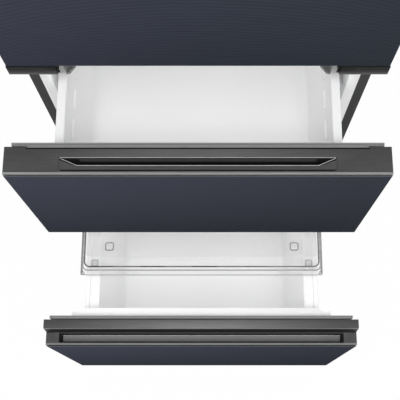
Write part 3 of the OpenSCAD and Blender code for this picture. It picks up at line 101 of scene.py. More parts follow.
class Shader:
    """A material's node tree, with short ways to add nodes that work in object space, which is the CAD's frame."""

    def __init__(self, name, color, roughness, metallic=0.0, gloss=0.5):
        self.material = bpy.data.materials.new(name)
        self.material.use_nodes = True
        self.tree = self.material.node_tree
        self.bsdf = self.tree.nodes["Principled BSDF"]
        self.output = self.tree.nodes["Material Output"]
        self.bsdf.inputs["Base Color"].default_value = (*color, 1)
        self.bsdf.inputs["Roughness"].default_value = roughness
        self.bsdf.inputs["Metallic"].default_value = metallic
        self.bsdf.inputs["Specular IOR Level"].default_value = gloss
        self.places = None
        self.painted = None

    def node(self, kind, **values):
        """A new node, with values for its sockets or its own settings."""
        new = self.tree.nodes.new(kind)
        for key, value in values.items():
            if key in new.inputs:
                new.inputs[key].default_value = value
            else:
                setattr(new, key, value)
        return new

    def link(self, source, target):
        """Join an output to an input, or set the input where the source is a number or a colour."""
        if isinstance(source, bpy.types.NodeSocket):
            self.tree.links.new(source, target)
        else:
            target.default_value = source

    def calc(self, operation, *values):
        """The result of a Math operation on outputs and numbers."""
        node = self.node("ShaderNodeMath", operation=operation)
        for value, socket in zip(values, node.inputs):
            self.link(value, socket)
        return node.outputs[0]

    def textured(self, texture, **mapping_values):
        """A texture's pattern in object space, with values for the mapping of its coordinates."""
        mapping = self.node("ShaderNodeMapping", **mapping_values)
        self.link(self.node("ShaderNodeTexCoord").outputs["Object"], mapping.inputs["Vector"])
        self.link(mapping.outputs["Vector"], texture.inputs["Vector"])
        return texture.outputs["Fac"]

    def noise(self, scale, stretch=(1, 1, 1), detail=4.0):
        """Noise whose grain is finer along the axes that are stretched more."""
        texture = self.node("ShaderNodeTexNoise", Scale=scale, Detail=detail)
        return self.textured(texture, Scale=stretch)

    def rings(self, scale):
        """Fine wavy rings round the middle of a film, faint like the moire of its weave."""
        texture = self.node("ShaderNodeTexWave", wave_type="RINGS", rings_direction="Y", Scale=scale,
                            Distortion=1.5, Detail=2.0)
        return self.textured(texture, Location=(0, 0, -RINGS_HEIGHT))

    def ramp(self, factor, low, high):
        """A colour that goes from one to another over the range of a noise."""
        ramp = self.node("ShaderNodeValToRGB")
        first, second = ramp.color_ramp.elements
        first.position, second.position = NOISE_LOW, NOISE_HIGH
        first.color, second.color = (*low, 1), (*high, 1)
        self.link(factor, ramp.inputs["Fac"])
        return ramp.outputs["Color"]

    def place(self, axis):
        """Coordinate along X, Y or Z, or along "side", the distance from the middle plane."""
        if self.places is None:
            split = self.node("ShaderNodeSeparateXYZ")
            self.link(self.node("ShaderNodeTexCoord").outputs["Object"], split.inputs[0])
            self.places = dict(zip("XYZ", split.outputs), side=self.calc("ABSOLUTE", split.outputs[0]))
        return self.places[axis]

    def rise(self, value, none_at, full_at):
        """A mask that rises evenly from 0 to 1 between two levels of a value."""
        ramp = self.node("ShaderNodeMapRange")
        ramp.inputs["From Min"].default_value = none_at
        ramp.inputs["From Max"].default_value = full_at
        self.link(value, ramp.inputs["Value"])
        return ramp.outputs["Result"]

    def wave(self, axis, period, start):
        """A mask that is 0 round a place and again after each period, and 1 between, with short steps."""
        turn = self.calc("MULTIPLY_ADD", self.place(axis), math.tau / period, -math.tau * start / period)
        return self.rise(self.calc("COSINE", turn), WAVE_NONE, WAVE_FULL)

    def mix(self, blend, first, second, factor=1.0):
        """Two colours blended."""
        node = self.node("ShaderNodeMix", data_type="RGBA", blend_type=blend)
        for index, value in ((MIX_FACTOR, factor), (MIX_FIRST, first), (MIX_SECOND, second)):
            self.link(value, node.inputs[index])
        return node.outputs[MIX_RESULT]

    def paint(self, mask, color):
        """Another colour where the mask is 1."""
        under = self.painted or self.bsdf.inputs["Base Color"].default_value
        self.painted = self.mix("MIX", under, (*color, 1), mask)

    def tone(self, factor, low):
        """The colour and what is painted on it, darkened down to a share of it where the factor is low."""
        base = self.bsdf.inputs["Base Color"]
        if self.painted:
            toned = self.mix("MULTIPLY", self.painted, self.ramp(factor, grey(low), grey(1.0)))
        else:
            color = tuple(base.default_value)[:3]
            toned = self.ramp(factor, [channel * low for channel in color], color)
        self.link(toned, base)

    def roughness(self, factor, middle, spread):
        """Roughness that strays from its middle value by a share of it either way."""
        grain = self.ramp(factor, grey(middle * (1 - spread)), grey(middle * (1 + spread)))
        self.link(grain, self.bsdf.inputs["Roughness"])

    def bump(self, factor, distance, strength):
        bump = self.node("ShaderNodeBump", Strength=strength, Distance=distance)
        self.link(factor, bump.inputs["Height"])
        self.link(bump.outputs["Normal"], self.bsdf.inputs["Normal"])


def zone(*bounds, share=1.0):
    """A painted zone, as a function from a shader to a mask: the product of its bounds and a share.

    A bound is an axis and two places along it: where the mask is 0 and where it is 1.
    """
    def mask(shader):
        product = share
        for axis, none_at, full_at in bounds:
            product = shader.calc("MULTIPLY", shader.rise(shader.place(axis), none_at, full_at), product)
        return product
    return mask


def between(axis, low, high, soft=0.0002):
    """The two bounds that keep a zone between two places, with soft ends."""
    return (axis, low - soft, low + soft), (axis, high + soft, high - soft)


def behind(face, none_at, full_at):
    """A bound along Y, given behind a front's face."""
    return "Y", face + none_at, face + full_at


def below(top, none_at, full_at):
    """A bound along Z, given below a top."""
    return "Z", top - none_at, top - full_at


# Unevenness of all materials: scales of noise per metre, spread of roughness, and strength of their bumps
BRUSHED_DETAIL, BRUSHED_SPREAD, BRUSHED_BUMP = 6, 0.12, 0.6
BRUSHED_CLOUD = dict(scale=3.0, stretch=(0.5, 1, 1))
MOULDED_DETAIL, MOULDED_SPREAD, MOULDED_BUMP, MOULDED_CLOUD = 2, 0.1, 0.4, 6.0
CLEAR_CLOUD = 12.0
RINGS_SHARE = 0.16
ALONG_X = (0.012, 1, 1)
ALONG_Y = (1, 0.012, 0.3)


def brushed(name, color, roughness, metallic, grain, depth, contrast=0.2, gloss=0.5, paints=(), along=ALONG_X,
            weave=0):
    """Metal or film brushed along an axis, with paints, which are pairs of a zone and a colour."""
    shader = Shader(name, color, roughness, metallic, gloss)
    lines = shader.noise(grain, along, BRUSHED_DETAIL)
    for mask, painted in paints:
        shader.paint(mask(shader), painted)
    if weave:
        shader.paint(shader.calc("MULTIPLY", shader.rings(weave), RINGS_SHARE), grey(0.0))
    shader.tone(lines, 1 - contrast)
    shader.roughness(shader.noise(**BRUSHED_CLOUD), roughness, BRUSHED_SPREAD)
    shader.bump(lines, depth, BRUSHED_BUMP)
    return shader.material


def moulded(name, color, roughness, grain=900, depth=0.00002, contrast=0.02, gloss=0.5, paints=()):
    """Moulded plastic with a fine grain and a faint unevenness of tone and gloss, and paints as on brushed ones."""
    shader = Shader(name, color, roughness, gloss=gloss)
    cloud = shader.noise(MOULDED_CLOUD)
    for mask, painted in paints:
        shader.paint(mask(shader), painted)
    shader.tone(cloud, 1 - contrast)
    shader.roughness(cloud, roughness, MOULDED_SPREAD)
    shader.bump(shader.noise(grain, detail=MOULDED_DETAIL), depth, MOULDED_BUMP)
    return shader.material


def clear(name, tint, roughness, opacity, gloss=0.5, spread=0.2, ior=1.45, denser=()):
    """Clear or smoked plastic or glass: a gloss, a faint tint, and zones that add to its opacity."""
    shader = Shader(name, tint, roughness, gloss=gloss)
    shader.roughness(shader.noise(CLEAR_CLOUD), roughness, spread)
    shader.bsdf.inputs["IOR"].default_value = ior
    shader.bsdf.inputs["Alpha"].default_value = opacity
    if denser:
        total = opacity
        for mask in denser:
            total = shader.calc("ADD", mask(shader), total)
        shader.link(total, shader.bsdf.inputs["Alpha"])
    return shader.material


MATERIALS = {
    "side_paint": moulded("side_paint", (0.05, 0.053, 0.062), roughness=0.45, gloss=0.05),
    "black_steel": moulded("black_steel", (0.010, 0.010, 0.011), roughness=0.5, gloss=0.15),
    "strip_steel": moulded("strip_paint", grey(0.075), roughness=0.4, gloss=0.0),
    "zinc_steel": brushed("zinc_plate", (0.7, 0.71, 0.72), roughness=0.4, metallic=0.4, grain=500, depth=0.00002,
                          contrast=0.08),
    "liner_white": moulded("liner_white", grey(0.93), roughness=0.4),
    "bin_white": moulded("bin_white", grey(0.93), roughness=0.33),
    "foamed_liner": moulded("front_liner_white", grey(0.96), roughness=0.4),
    "foam": moulded("foam_yellow", (0.72, 0.6, 0.33), roughness=0.9, grain=300, depth=0.0004, contrast=0.12),
    "seal_rubber": moulded("seal_grey", grey(0.2), roughness=0.6, gloss=0.2),
    "dark_plastic": moulded("dark_plastic", (0.018, 0.018, 0.019), roughness=0.42, gloss=0.2),
    "grey_plastic": moulded("grey_plastic", (0.5, 0.51, 0.52), roughness=0.5),
    "clear_plastic": clear("clear_plastic", (0.90, 0.92, 0.92), roughness=0.08, opacity=0.1, gloss=0.3),
    "shelf_glass": clear("shelf_glass", (0.6, 0.75, 0.7), roughness=0.05, opacity=0.25),
    "compressor_black": moulded("compressor_black", (0.012, 0.012, 0.013), roughness=0.3),
    "fin_aluminium": brushed("fin_aluminium", (0.7, 0.72, 0.74), roughness=0.35, metallic=1.0, grain=400,
                             depth=0.00002, contrast=0.06),
    # Clearest where the bin's rim shows through the hinge covers, and denser towards both of their ends
    "smoked_plastic": clear("smoked_plastic", (0.022, 0.022, 0.023), roughness=0.15, opacity=0.06, gloss=0.05,
                            ior=1.5, denser=(zone(("side", 0.2405, 0.2420), share=0.88),
                                             zone(("side", 0.2275, 0.2262), share=0.36))),
}

# Fronts' faces and the tops of the caps and of the lower cap's raised bar, from the CAD
UPPER_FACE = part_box("upper_drawer_skin")[0][1]
UPPER_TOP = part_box("upper_drawer_cap")[1][2]
LOWER_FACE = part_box("lower_drawer_skin")[0][1]
BAR_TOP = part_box("lower_drawer_cap")[1][2]
BAR_HEIGHT = 0.033
LOWER_TOP = BAR_TOP - BAR_HEIGHT
TRAY_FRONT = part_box("tray")[0][1]

# Zones of both caps: their darker ends, painted shade that leaves a painted sheen along their middle, and the lip
# along the front's face, lighter partly as polished metal and partly as a painted highlight of its edge
CAP_SHADED_ENDS = zone(("side", 0.06, 0.29), share=0.75)
LIP_FRONT, LIP_REAR = 0.0024, 0.0069

# Zones of the upper cap: the floor of its recess round the pocket's front and ends, the same floor's edge behind
# the lip darkened as a painted shadow, and its notch darkened as painted shade of the groove between the cap and
# the seal
UPPER_LIP_HIGHLIGHT = zone(*between("Y", UPPER_FACE + LIP_FRONT, UPPER_FACE + LIP_REAR))
PLATE_BOUNDS = (below(UPPER_TOP, 0.0012, 0.0018), behind(UPPER_FACE, 0.0340, 0.0336))
PLATE = zone(*PLATE_BOUNDS)
PLATE_SHADOW = zone(*PLATE_BOUNDS, behind(UPPER_FACE, 0.0125, 0.0111))
NOTCH_SHADE = zone(behind(UPPER_FACE, 0.0470, 0.0474), below(UPPER_TOP, 0.0004, 0.0008))

# Zones of the pocket in the upper cap: its front rim, and the part of its rear wall that catches some light,
# lightened there as painted light
POCKET_RIM = zone(below(UPPER_TOP, 0.0027, 0.0026), behind(UPPER_FACE, 0.0200, 0.0196))
POCKET_REAR_WALL = zone(behind(UPPER_FACE, 0.0314, 0.0318), ("side", 0.2, 0.199),
                        *between("Z", UPPER_TOP - 0.0205, UPPER_TOP - 0.0065, soft=0.001))

# Zones of the lower cap: the upper edge of the raised bar, lightened as a painted highlight, its face, darkened as
# painted shade, and its rear edge, darkened as painted shade
LOWER_LIP_HIGHLIGHT = zone(*between("Y", LOWER_FACE + LIP_FRONT, LOWER_FACE + LIP_REAR))
BAR_BOUNDS = between("Y", LOWER_FACE + 0.0280, LOWER_FACE + 0.0336)
BAR_EDGE_HIGHLIGHT = zone(*BAR_BOUNDS, below(BAR_TOP, 0.0004, 0.0010))
BAR_FACE_SHADE = zone(*BAR_BOUNDS, below(BAR_TOP, 0.0045, 0.0060))
BAR_REAR_SHADE = zone(behind(LOWER_FACE, 0.0501, 0.0507), ("side", 0.306, 0.300))

# Zones of the slot in the lower cap: the upper part of its rear wall, lightened as painted light, its floor, the
# floor's bright rear edge, a painted highlight, and its dark front edge, a painted shadow of the lip
SLOT_REAR = behind(LOWER_FACE, 0.0266, 0.0270)
SLOT_REAR_WALL = zone(SLOT_REAR, below(LOWER_TOP, 0.026, 0.022))
SLOT_FLOOR_BOUNDS = (below(LOWER_TOP, 0.0379, 0.0381), below(LOWER_TOP, 0.0390, 0.0387))
SLOT_FLOOR = zone(*SLOT_FLOOR_BOUNDS)
SLOT_FLOOR_BEAD_HIGHLIGHT = zone(*SLOT_FLOOR_BOUNDS, SLOT_REAR)
SLOT_FLOOR_SHADOW = zone(*SLOT_FLOOR_BOUNDS, behind(LOWER_FACE, 0.0158, 0.0124))

# Right sides of the fronts and the door, where their films are darkened as painted shade, and the tray's flat floor
# behind its sloped front
FRONT_RIGHT_SHADE = zone(("X", -0.28, 0.28), share=0.6)
DOOR_RIGHT_SHADE = zone(("X", -0.3, 0.3))
TRAY_FLOOR = zone(behind(TRAY_FRONT, 0.044, 0.046), share=0.055)

FILM = dict(roughness=0.42, metallic=0.0, grain=1400, depth=0.00002, contrast=0.2, gloss=0.0, weave=34)
CAP_METAL = dict(roughness=0.42, metallic=0.2, grain=1800, depth=0.00003, gloss=0.2)
CAP_END_SHADE_GREY = (0.045, 0.045, 0.046)
# Painted light on the upper parts of the pocket's and the slot's rear walls
REAR_WALL_LIGHT_GREY = grey(0.075)
# Painted shade of the fronts' films towards their foot and their right side
FOOT_SHADE_NAVY = (0.0535, 0.0595, 0.077)
RIGHT_SHADE_NAVY = (0.036, 0.0405, 0.051)


def front_film(name, node, color, edge_highlight_color):
    """Navy film of one front, darker towards its foot and its right side as painted shade, with a paler folded top
    edge as a painted highlight.
    """
    low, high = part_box(node)
    foot = zone(("Z", high[2], low[2]))
    edge = zone(below(high[2], 0.0045, 0.0025))
    return brushed(name, color, **FILM, paints=((foot, FOOT_SHADE_NAVY), (FRONT_RIGHT_SHADE, RIGHT_SHADE_NAVY), (edge, edge_highlight_color)))


# Materials of single CAD nodes, in place of their slots' ones
OWN_MATERIALS = {
    # The door's film is darkened on its right side as painted shade
    "door_skin": brushed("door_film", (0.063, 0.068, 0.096), **FILM, paints=((DOOR_RIGHT_SHADE, (0.046, 0.054, 0.070)),)),
    "upper_drawer_skin": front_film("upper_front_film", "upper_drawer_skin", (0.0618, 0.0668, 0.0913),
                                    edge_highlight_color=(0.105, 0.11, 0.122)),
    "lower_drawer_skin": front_film("lower_front_film", "lower_drawer_skin", (0.069, 0.075, 0.104),
                                    edge_highlight_color=(0.12, 0.125, 0.135)),
    "upper_drawer_cap": brushed("upper_cap_metal", (0.14, 0.14, 0.141), **CAP_METAL, contrast=0.3, paints=(
        (CAP_SHADED_ENDS, CAP_END_SHADE_GREY), (PLATE, (0.105, 0.105, 0.106)), (PLATE_SHADOW, grey(0.012)),
        (NOTCH_SHADE, grey(0.02)), (UPPER_LIP_HIGHLIGHT, (0.30, 0.30, 0.303)))),
    "lower_drawer_cap": brushed("lower_cap_metal", grey(0.17), **CAP_METAL, contrast=0.3, paints=(
        (CAP_SHADED_ENDS, CAP_END_SHADE_GREY), (BAR_EDGE_HIGHLIGHT, grey(0.32)), (BAR_FACE_SHADE, (0.022, 0.022, 0.023)),
        (BAR_REAR_SHADE, grey(0.03)), (LOWER_LIP_HIGHLIGHT, (0.22, 0.22, 0.222)))),
    "upper_drawer_grip": moulded("upper_grip_plastic", (0.02, 0.02, 0.0205), roughness=0.42, gloss=0.2, paints=(
        (POCKET_REAR_WALL, REAR_WALL_LIGHT_GREY), (POCKET_RIM, grey(0.12)))),
    "lower_drawer_grip": brushed("lower_grip_metal", (0.014, 0.014, 0.015), **CAP_METAL, contrast=0.14, paints=(
        (SLOT_REAR_WALL, REAR_WALL_LIGHT_GREY), (SLOT_FLOOR, (0.195, 0.195, 0.197)), (SLOT_FLOOR_BEAD_HIGHLIGHT, grey(0.8)),
        (SLOT_FLOOR_SHADOW, grey(0.016)))),
    "tray": clear("tray_plastic", grey(0.4), roughness=0.08, opacity=0.045, gloss=0.3, spread=0.1875,
                  denser=(TRAY_FLOOR,)),
}


def dress_cad_nodes():
    """Every CAD node gets its own material, or else its slot's."""
    for part in frame["record"]["subparts"]:
        mesh = nodes[part["node"]].data
        mesh.materials.clear()
        mesh.materials.append(OWN_MATERIALS.get(part["node"]) or MATERIALS[part["material_slot"]])


dress_cad_nodes()

# Edges sharper than these angles in degrees stay sharp in the shading, or are rounded
SMOOTH_LIMIT = 34
ROUNDED_LIMIT = 38
ROUNDED_SEGMENTS = 2
WELD_DISTANCE = 0.00001


def smooth_group():
    """Geometry nodes that shade faces smooth and keep sharp edges."""
    group = bpy.data.node_groups.new("smooth_by_angle", "GeometryNodeTree")
    group.interface.new_socket("Geometry", in_out="INPUT", socket_type="NodeSocketGeometry")
    group.interface.new_socket("Geometry", in_out="OUTPUT", socket_type="NodeSocketGeometry")
    source = group.nodes.new("NodeGroupInput")
    result = group.nodes.new("NodeGroupOutput")
    angle = group.nodes.new("GeometryNodeInputMeshEdgeAngle")
    soft = group.nodes.new("FunctionNodeCompare")
    soft.data_type = "FLOAT"
    soft.operation = "LESS_THAN"
    soft.inputs["B"].default_value = math.radians(SMOOTH_LIMIT)
    faces = group.nodes.new("GeometryNodeSetShadeSmooth")
    faces.domain = "FACE"
    edges = group.nodes.new("GeometryNodeSetShadeSmooth")
    edges.domain = "EDGE"
    group.links.new(angle.outputs["Unsigned Angle"], soft.inputs["A"])
    group.links.new(soft.outputs["Result"], edges.inputs["Shade Smooth"])
    group.links.new(source.outputs[0], faces.inputs["Geometry"])
    group.links.new(faces.outputs[0], edges.inputs["Geometry"])
    group.links.new(edges.outputs[0], result.inputs[0])
    return group


SMOOTH = smooth_group()

# CAD nodes by the width of their rounded edges in millimetres, where 0 only shades their fillets smooth
EDGE_WIDTHS = {
    0.5: ("front_frame", "door_skin", "upper_drawer_skin", "lower_drawer_skin", "upper_liner", "middle_liner",
          "lower_liner", "outer_shell", "middle_hinge", "top_hinge"),
    0.7: ("upper_drawer_cap", "lower_drawer_cap", "upper_drawer_grip", "lower_drawer_grip", "hinge_cover_left",
          "hinge_cover_right", "tray_glides"),
    1.0: ("door_top_cap", "door_bottom_cap", "door_bin_1", "door_bin_2", "door_bin_3", "top_hinge_cover",
          "plinth_grille", "freezer_duct_cover", "air_duct_cover"),
    1.5: ("door_liner", "upper_drawer_liner", "lower_drawer_liner"),
    0: ("upper_bin", "lower_bin", "tray", "compressor", "rear_roller_left", "rear_roller_right", "levelling_feet"),
}


def soften_edges(name, width):
    """Round the sharp edges of a CAD node and shade its fillets smooth."""
    modifiers = nodes[name].modifiers
    weld = modifiers.new("weld", "WELD")
    weld.merge_threshold = WELD_DISTANCE
    if width:
        bevel = modifiers.new("soft_edges", "BEVEL")
        bevel.width = width / 1000
        bevel.segments = ROUNDED_SEGMENTS
        bevel.limit_method = "ANGLE"
        bevel.angle_limit = math.radians(ROUNDED_LIMIT)
    modifiers.new("smooth_by_angle", "NODES").node_group = SMOOTH


for edge_width, names in EDGE_WIDTHS.items():
    for name in names:
        soften_edges(name, edge_width)


def swept_piece(name, rings, material, body, closed=True):
    """A piece through rings of points, riding on a CAD body. It closes on itself, or has a face at each end."""
    mesh = bmesh.new()
    rings = [[mesh.verts.new(point) for point in ring] for ring in rings]
    for index in range(len(rings) if closed else len(rings) - 1):
        ring, following = rings[index], rings[(index + 1) % len(rings)]
        for step in range(len(ring)):
            after = (step + 1) % len(ring)
            mesh.faces.new((ring[step], ring[after], following[after], following[step]))
    if not closed:
        mesh.faces.new(rings[0])
        mesh.faces.new(reversed(rings[-1]))
    bmesh.ops.recalc_face_normals(mesh, faces=mesh.faces)
    data = bpy.data.meshes.new(name)
    mesh.to_mesh(data)
    mesh.free()
    data.materials.append(material)
    piece = bpy.data.objects.new(name, data)
    bpy.context.scene.collection.objects.link(piece)
    piece.modifiers.new("smooth_by_angle", "NODES").node_group = SMOOTH
    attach(piece, body)
    return piece


# Section of a band as shares of its width and height, and the limit that keeps a mitre from widening it too far
BAND_SECTION = [(0.5 * math.cos(math.radians(angle)), 0.5 * math.sin(math.radians(angle)))
                for angle in range(0, 360, 45)]
MITRE_LIMIT = 0.5


def band(name, path, z, width, height, material, body, closed=True):
    """A rounded bead carried along a path of (x, y) points at a height, mitred at its corners."""
    last = len(path) - 1
    rings = []
    for index, (x, y) in enumerate(path):
        before = path[index - 1] if closed or index else path[index]
        after = path[(index + 1) % len(path)] if closed or index < last else path[index]
        first = Vector((x - before[0], y - before[1]))
        second = Vector((after[0] - x, after[1] - y))
        first = (first if first.length else second).normalized()
        second = (second if second.length else first).normalized()
        along = (first + second).normalized()
        side = Vector((along.y, -along.x)) * width / max(MITRE_LIMIT, along.dot(second))
        rings.append([(x + side.x * u, y + side.y * u, z + height * v) for u, v in BAND_SECTION])
    swept_piece(name, rings, material, body, closed)


def rounded_path(x0, y0, x1, y1, radius, steps=6):
    """Closed path round a rectangle with round corners."""
    path = []
    for x, y, start in ((x1 - radius, y1 - radius, 0), (x0 + radius, y1 - radius, 90),
                        (x0 + radius, y0 + radius, 180), (x1 - radius, y0 + radius, 270)):
        for step in range(steps + 1):
            angle = math.radians(start + 90 * step / steps)
            path.append((x + radius * math.cos(angle), y + radius * math.sin(angle)))
    return path


# Section of a magnetic seal: share of its depth from front to back, and distance inside its outer face
SEAL_SECTION = (
    (0.0, 0.0045), (0.0, 0.0165), (0.30, 0.0165), (0.34, 0.0150), (0.42, 0.0150), (0.46, 0.0178), (0.93, 0.0178),
    (1.0, 0.0168), (1.0, 0.0011), (0.93, 0.0002), (0.80, 0.0), (0.76, 0.0006), (0.50, 0.0006), (0.44, 0.0),
    (0.37, 0.0), (0.31, 0.0008), (0.28, 0.0045),
)


def add_seal(node, body, bead_behind_front):
    """Magnetic seal with its bellows, a bead and a rounded sealing face, in the room of the CAD seal."""
    low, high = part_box(node)
    front, rear = low[1], high[1]
    bead = front + bead_behind_front
    # The rubber's paints: painted shade in front of the bead, a painted highlight along the bead and along the rear
    # edge, and a darker line before the rear edge
    shade_zone = zone(behind(bead, -0.0008, -0.0012))
    bead_highlight_zone = zone(*between("Y", bead, bead + 0.0018))
    rear_line = zone(*between("Y", rear - 0.0042, rear - 0.0022))
    rear_edge_highlight = zone(behind(rear, -0.0018, 0.0))
    rubber = moulded(node + "_rubber", grey(0.23), roughness=0.6, gloss=0.2, paints=(
        (shade_zone, grey(0.08)), (bead_highlight_zone, grey(0.34)), (rear_line, grey(0.17)), (rear_edge_highlight, grey(0.55))))
    corners = ((high[0], high[2], 1, 1), (low[0], high[2], -1, 1), (low[0], low[2], -1, -1),
               (high[0], low[2], 1, -1))
    rings = [[(x - inside * out_x, front + share * (rear - front), z - inside * out_z)
              for share, inside in SEAL_SECTION] for x, z, out_x, out_z in corners]
    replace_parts(swept_piece(node + "_ring", rings, rubber, body), node)


add_seal("door_seal", "door", bead_behind_front=0.0012)
add_seal("upper_drawer_seal", "upper_drawer", bead_behind_front=0.0012)
add_seal("lower_drawer_seal", "lower_drawer", bead_behind_front=0.0026)

# Bead round the upper drawer's finger pocket: its front and rear behind the front's face, its distance inside the
# ends of the pocket's node, the reach of its straight and its slanted ends, and its height above the node
TRIM_FRONT, TRIM_REAR = 0.0192, 0.0332
TRIM_INSET = 0.0012
TRIM_STRAIGHT, TRIM_SLANT = 0.0016, 0.0285
TRIM_ABOVE = 0.0001
TRIM_SIZE = dict(width=0.0010, height=0.0007)
TRIM_HIGHLIGHT_METAL = brushed("trim_highlight_metal", grey(0.5), roughness=0.4, metallic=0.1, grain=900, depth=0.00002, contrast=0.15,
                     gloss=0.3)


def add_pocket_trim():
    """Bright bead round the upper drawer's finger pocket, its brightness partly a painted highlight of the pocket's
    edge.
    """
    end, _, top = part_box("upper_drawer_grip")[1]
    front, rear = UPPER_FACE + TRIM_FRONT, UPPER_FACE + TRIM_REAR
    half = end - TRIM_INSET
    path = [(-half, rear), (half, rear), (half, rear - TRIM_STRAIGHT), (half - TRIM_SLANT, front),
            (-half + TRIM_SLANT, front), (-half, rear - TRIM_STRAIGHT)]
    band("pocket_trim", path, top + TRIM_ABOVE, **TRIM_SIZE, material=TRIM_HIGHLIGHT_METAL, body="upper_drawer")


add_pocket_trim()

# The tray's dark edge, painted refraction of its clear plastic: the period of its paler stretches and the middle of
# a dark one, and its right part, paler as painted light
STRETCH_PERIOD, STRETCH_START = 0.1112, 0.0062
LINE_RIGHT_LIGHT = zone(("X", 0.06, 0.16), share=0.6)


def pale_stretches(shader):
    """Zone of the stretches where the clear plastic of the tray's edge bends the light."""
    return shader.wave("X", STRETCH_PERIOD, STRETCH_START)


# The tray's lines are bands whose dark and pale colours are painted refraction and painted reflection of the clear
# plastic's edges
LINE_PLASTIC = dict(roughness=0.4, metallic=0.0, depth=0.0)
DARK_LINE = brushed("tray_dark_line", grey(0.045), **LINE_PLASTIC, grain=120, contrast=0.3, gloss=0.1,
                    paints=((pale_stretches, grey(0.15)), (LINE_RIGHT_LIGHT, grey(0.3))))
FLANGE_LINE = brushed("tray_flange_line", grey(0.5), **LINE_PLASTIC, grain=120, contrast=0.4, gloss=0.2)
GREY_LINE = brushed("tray_grey_line", grey(0.36), **LINE_PLASTIC, grain=120, contrast=0.3, gloss=0.2)
STREAKS = brushed("tray_streaks", grey(0.62), **LINE_PLASTIC, grain=900, contrast=0.75, gloss=0.2, along=ALONG_Y)

SIDES = {-1: "_left", 1: "_right"}

# Closed lines round the tray. Insets are from its outline, and the front has its own.
TRAY_LOOPS = {
    "tray_well_edge": dict(inset=0.0077, front_inset=0.0191, radius=0.011, below_top=0.0003,
                           width=0.0028, height=0.0012, material=DARK_LINE),
    "tray_flange_step": dict(inset=0.0045, front_inset=0.0114, radius=0.010, below_top=0.0008,
                             width=0.0028, height=0.0009, material=FLANGE_LINE),
    "tray_outer_edge": dict(inset=0.0010, front_inset=0.0010, radius=0.011, below_top=0.0012,
                            width=0.0016, height=0.0010, material=GREY_LINE),
}

# Straight lines along both of its sides, which end at a distance before its rear
TRAY_SIDE_LINES = {
    "tray_side_edge": dict(inset=0.0027, behind_front=0.004, below_top=0.0022,
                           width=0.0038, height=0.0016, material=STREAKS),
    "tray_side_line": dict(inset=0.0006, behind_front=0.006, below_top=0.0016,
                           width=0.0011, height=0.0016, material=DARK_LINE),
}
SIDE_LINES_END = 0.02

# Rounded squares at both of its sides, placed by their middle, with half of their width as their reach
TRAY_SQUARES = {
    "tray_ring_mark": dict(inset=0.0575, behind_front=0.0675, reach=0.0084, radius=0.004, below_top=0.0197,
                           width=0.0030, height=0.0009, material=GREY_LINE),
    "tray_foot": dict(inset=0.0044, behind_front=0.0048, reach=0.0034, radius=0.0022, below_top=0.0014,
                      width=0.0014, height=0.0010, material=DARK_LINE),
    "tray_clip": dict(inset=0.0270, behind_front=0.0315, reach=0.0066, radius=0.003, below_top=0.0224,
                      width=0.0014, height=0.0007, material=GREY_LINE),
}


def add_tray_lines():
    """Lines of painted refraction and reflection along the dark edge of the tray's well, its stepped flange, its
    side edges, ring marks, feet and its glides' clips.
    """
    low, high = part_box("tray")
    half, front, rear, top = high[0], low[1], high[1], high[2]

    def add_loop(name, inset, front_inset, radius, below_top, **look):
        path = rounded_path(-half + inset, front + front_inset, half - inset, rear - inset, radius)
        band(name, path, top - below_top, body="tray", **look)

    def add_side_line(name, side, inset, behind_front, below_top, **look):
        x = side * (half - inset)
        path = [(x, rear - SIDE_LINES_END), (x, front + behind_front)]
        band(name + SIDES[side], path, top - below_top, body="tray", closed=False, **look)

    def add_square(name, side, inset, behind_front, reach, radius, below_top, **look):
        x, y = side * (half - inset), front + behind_front
        path = rounded_path(x - reach, y - reach, x + reach, y + reach, radius)
        band(name + SIDES[side], path, top - below_top, body="tray", **look)

    for name, line in TRAY_LOOPS.items():
        add_loop(name, **line)
    for side in SIDES:
        add_square("tray_ring_mark", side, **TRAY_SQUARES["tray_ring_mark"])
        for name, line in TRAY_SIDE_LINES.items():
            add_side_line(name, side, **line)
        for name in ("tray_foot", "tray_clip"):
            add_square(name, side, **TRAY_SQUARES[name])


add_tray_lines()

# Studio: the floor's size, colour and share of white where it is seen, and the strength of the light from all round
FLOOR_SIZE = 24
FLOOR_GREY = grey(0.8)
FLOOR_ROUGHNESS = 0.8
FLOOR_WHITE_SHARE = 0.98
WHITE = (*grey(1), 1)
WORLD_LIGHT = 0.66


def studio_material(name, color):
    """A pale surface that camera, gloss and see-through rays find nearly white, but that still takes shadow."""
    shader = Shader(name, color, FLOOR_ROUGHNESS)
    paths = shader.node("ShaderNodeLightPath").outputs
    seen = shader.calc("MAXIMUM", paths["Is Camera Ray"], paths["Is Glossy Ray"])
    seen = shader.calc("MAXIMUM", seen, paths["Is Transmission Ray"])
    white = shader.node("ShaderNodeEmission", Color=WHITE, Strength=1.0)
    mix = shader.node("ShaderNodeMixShader")
    shader.link(shader.calc("MULTIPLY", seen, FLOOR_WHITE_SHARE), mix.inputs["Fac"])
    shader.link(shader.bsdf.outputs[0], mix.inputs[1])
    shader.link(white.outputs[0], mix.inputs[2])
    shader.link(mix.outputs[0], shader.output.inputs["Surface"])
    return shader.material


def add_floor():
    """Plain pale floor."""
    half = FLOOR_SIZE / 2
    mesh = bpy.data.meshes.new("floor")
    mesh.from_pydata([(-half, -half, 0), (half, -half, 0), (half, half, 0), (-half, half, 0)], [], [(0, 1, 2, 3)])
    mesh.materials.append(studio_material("studio_floor", FLOOR_GREY))
    floor = bpy.data.objects.new("floor", mesh)
    bpy.context.scene.collection.objects.link(floor)


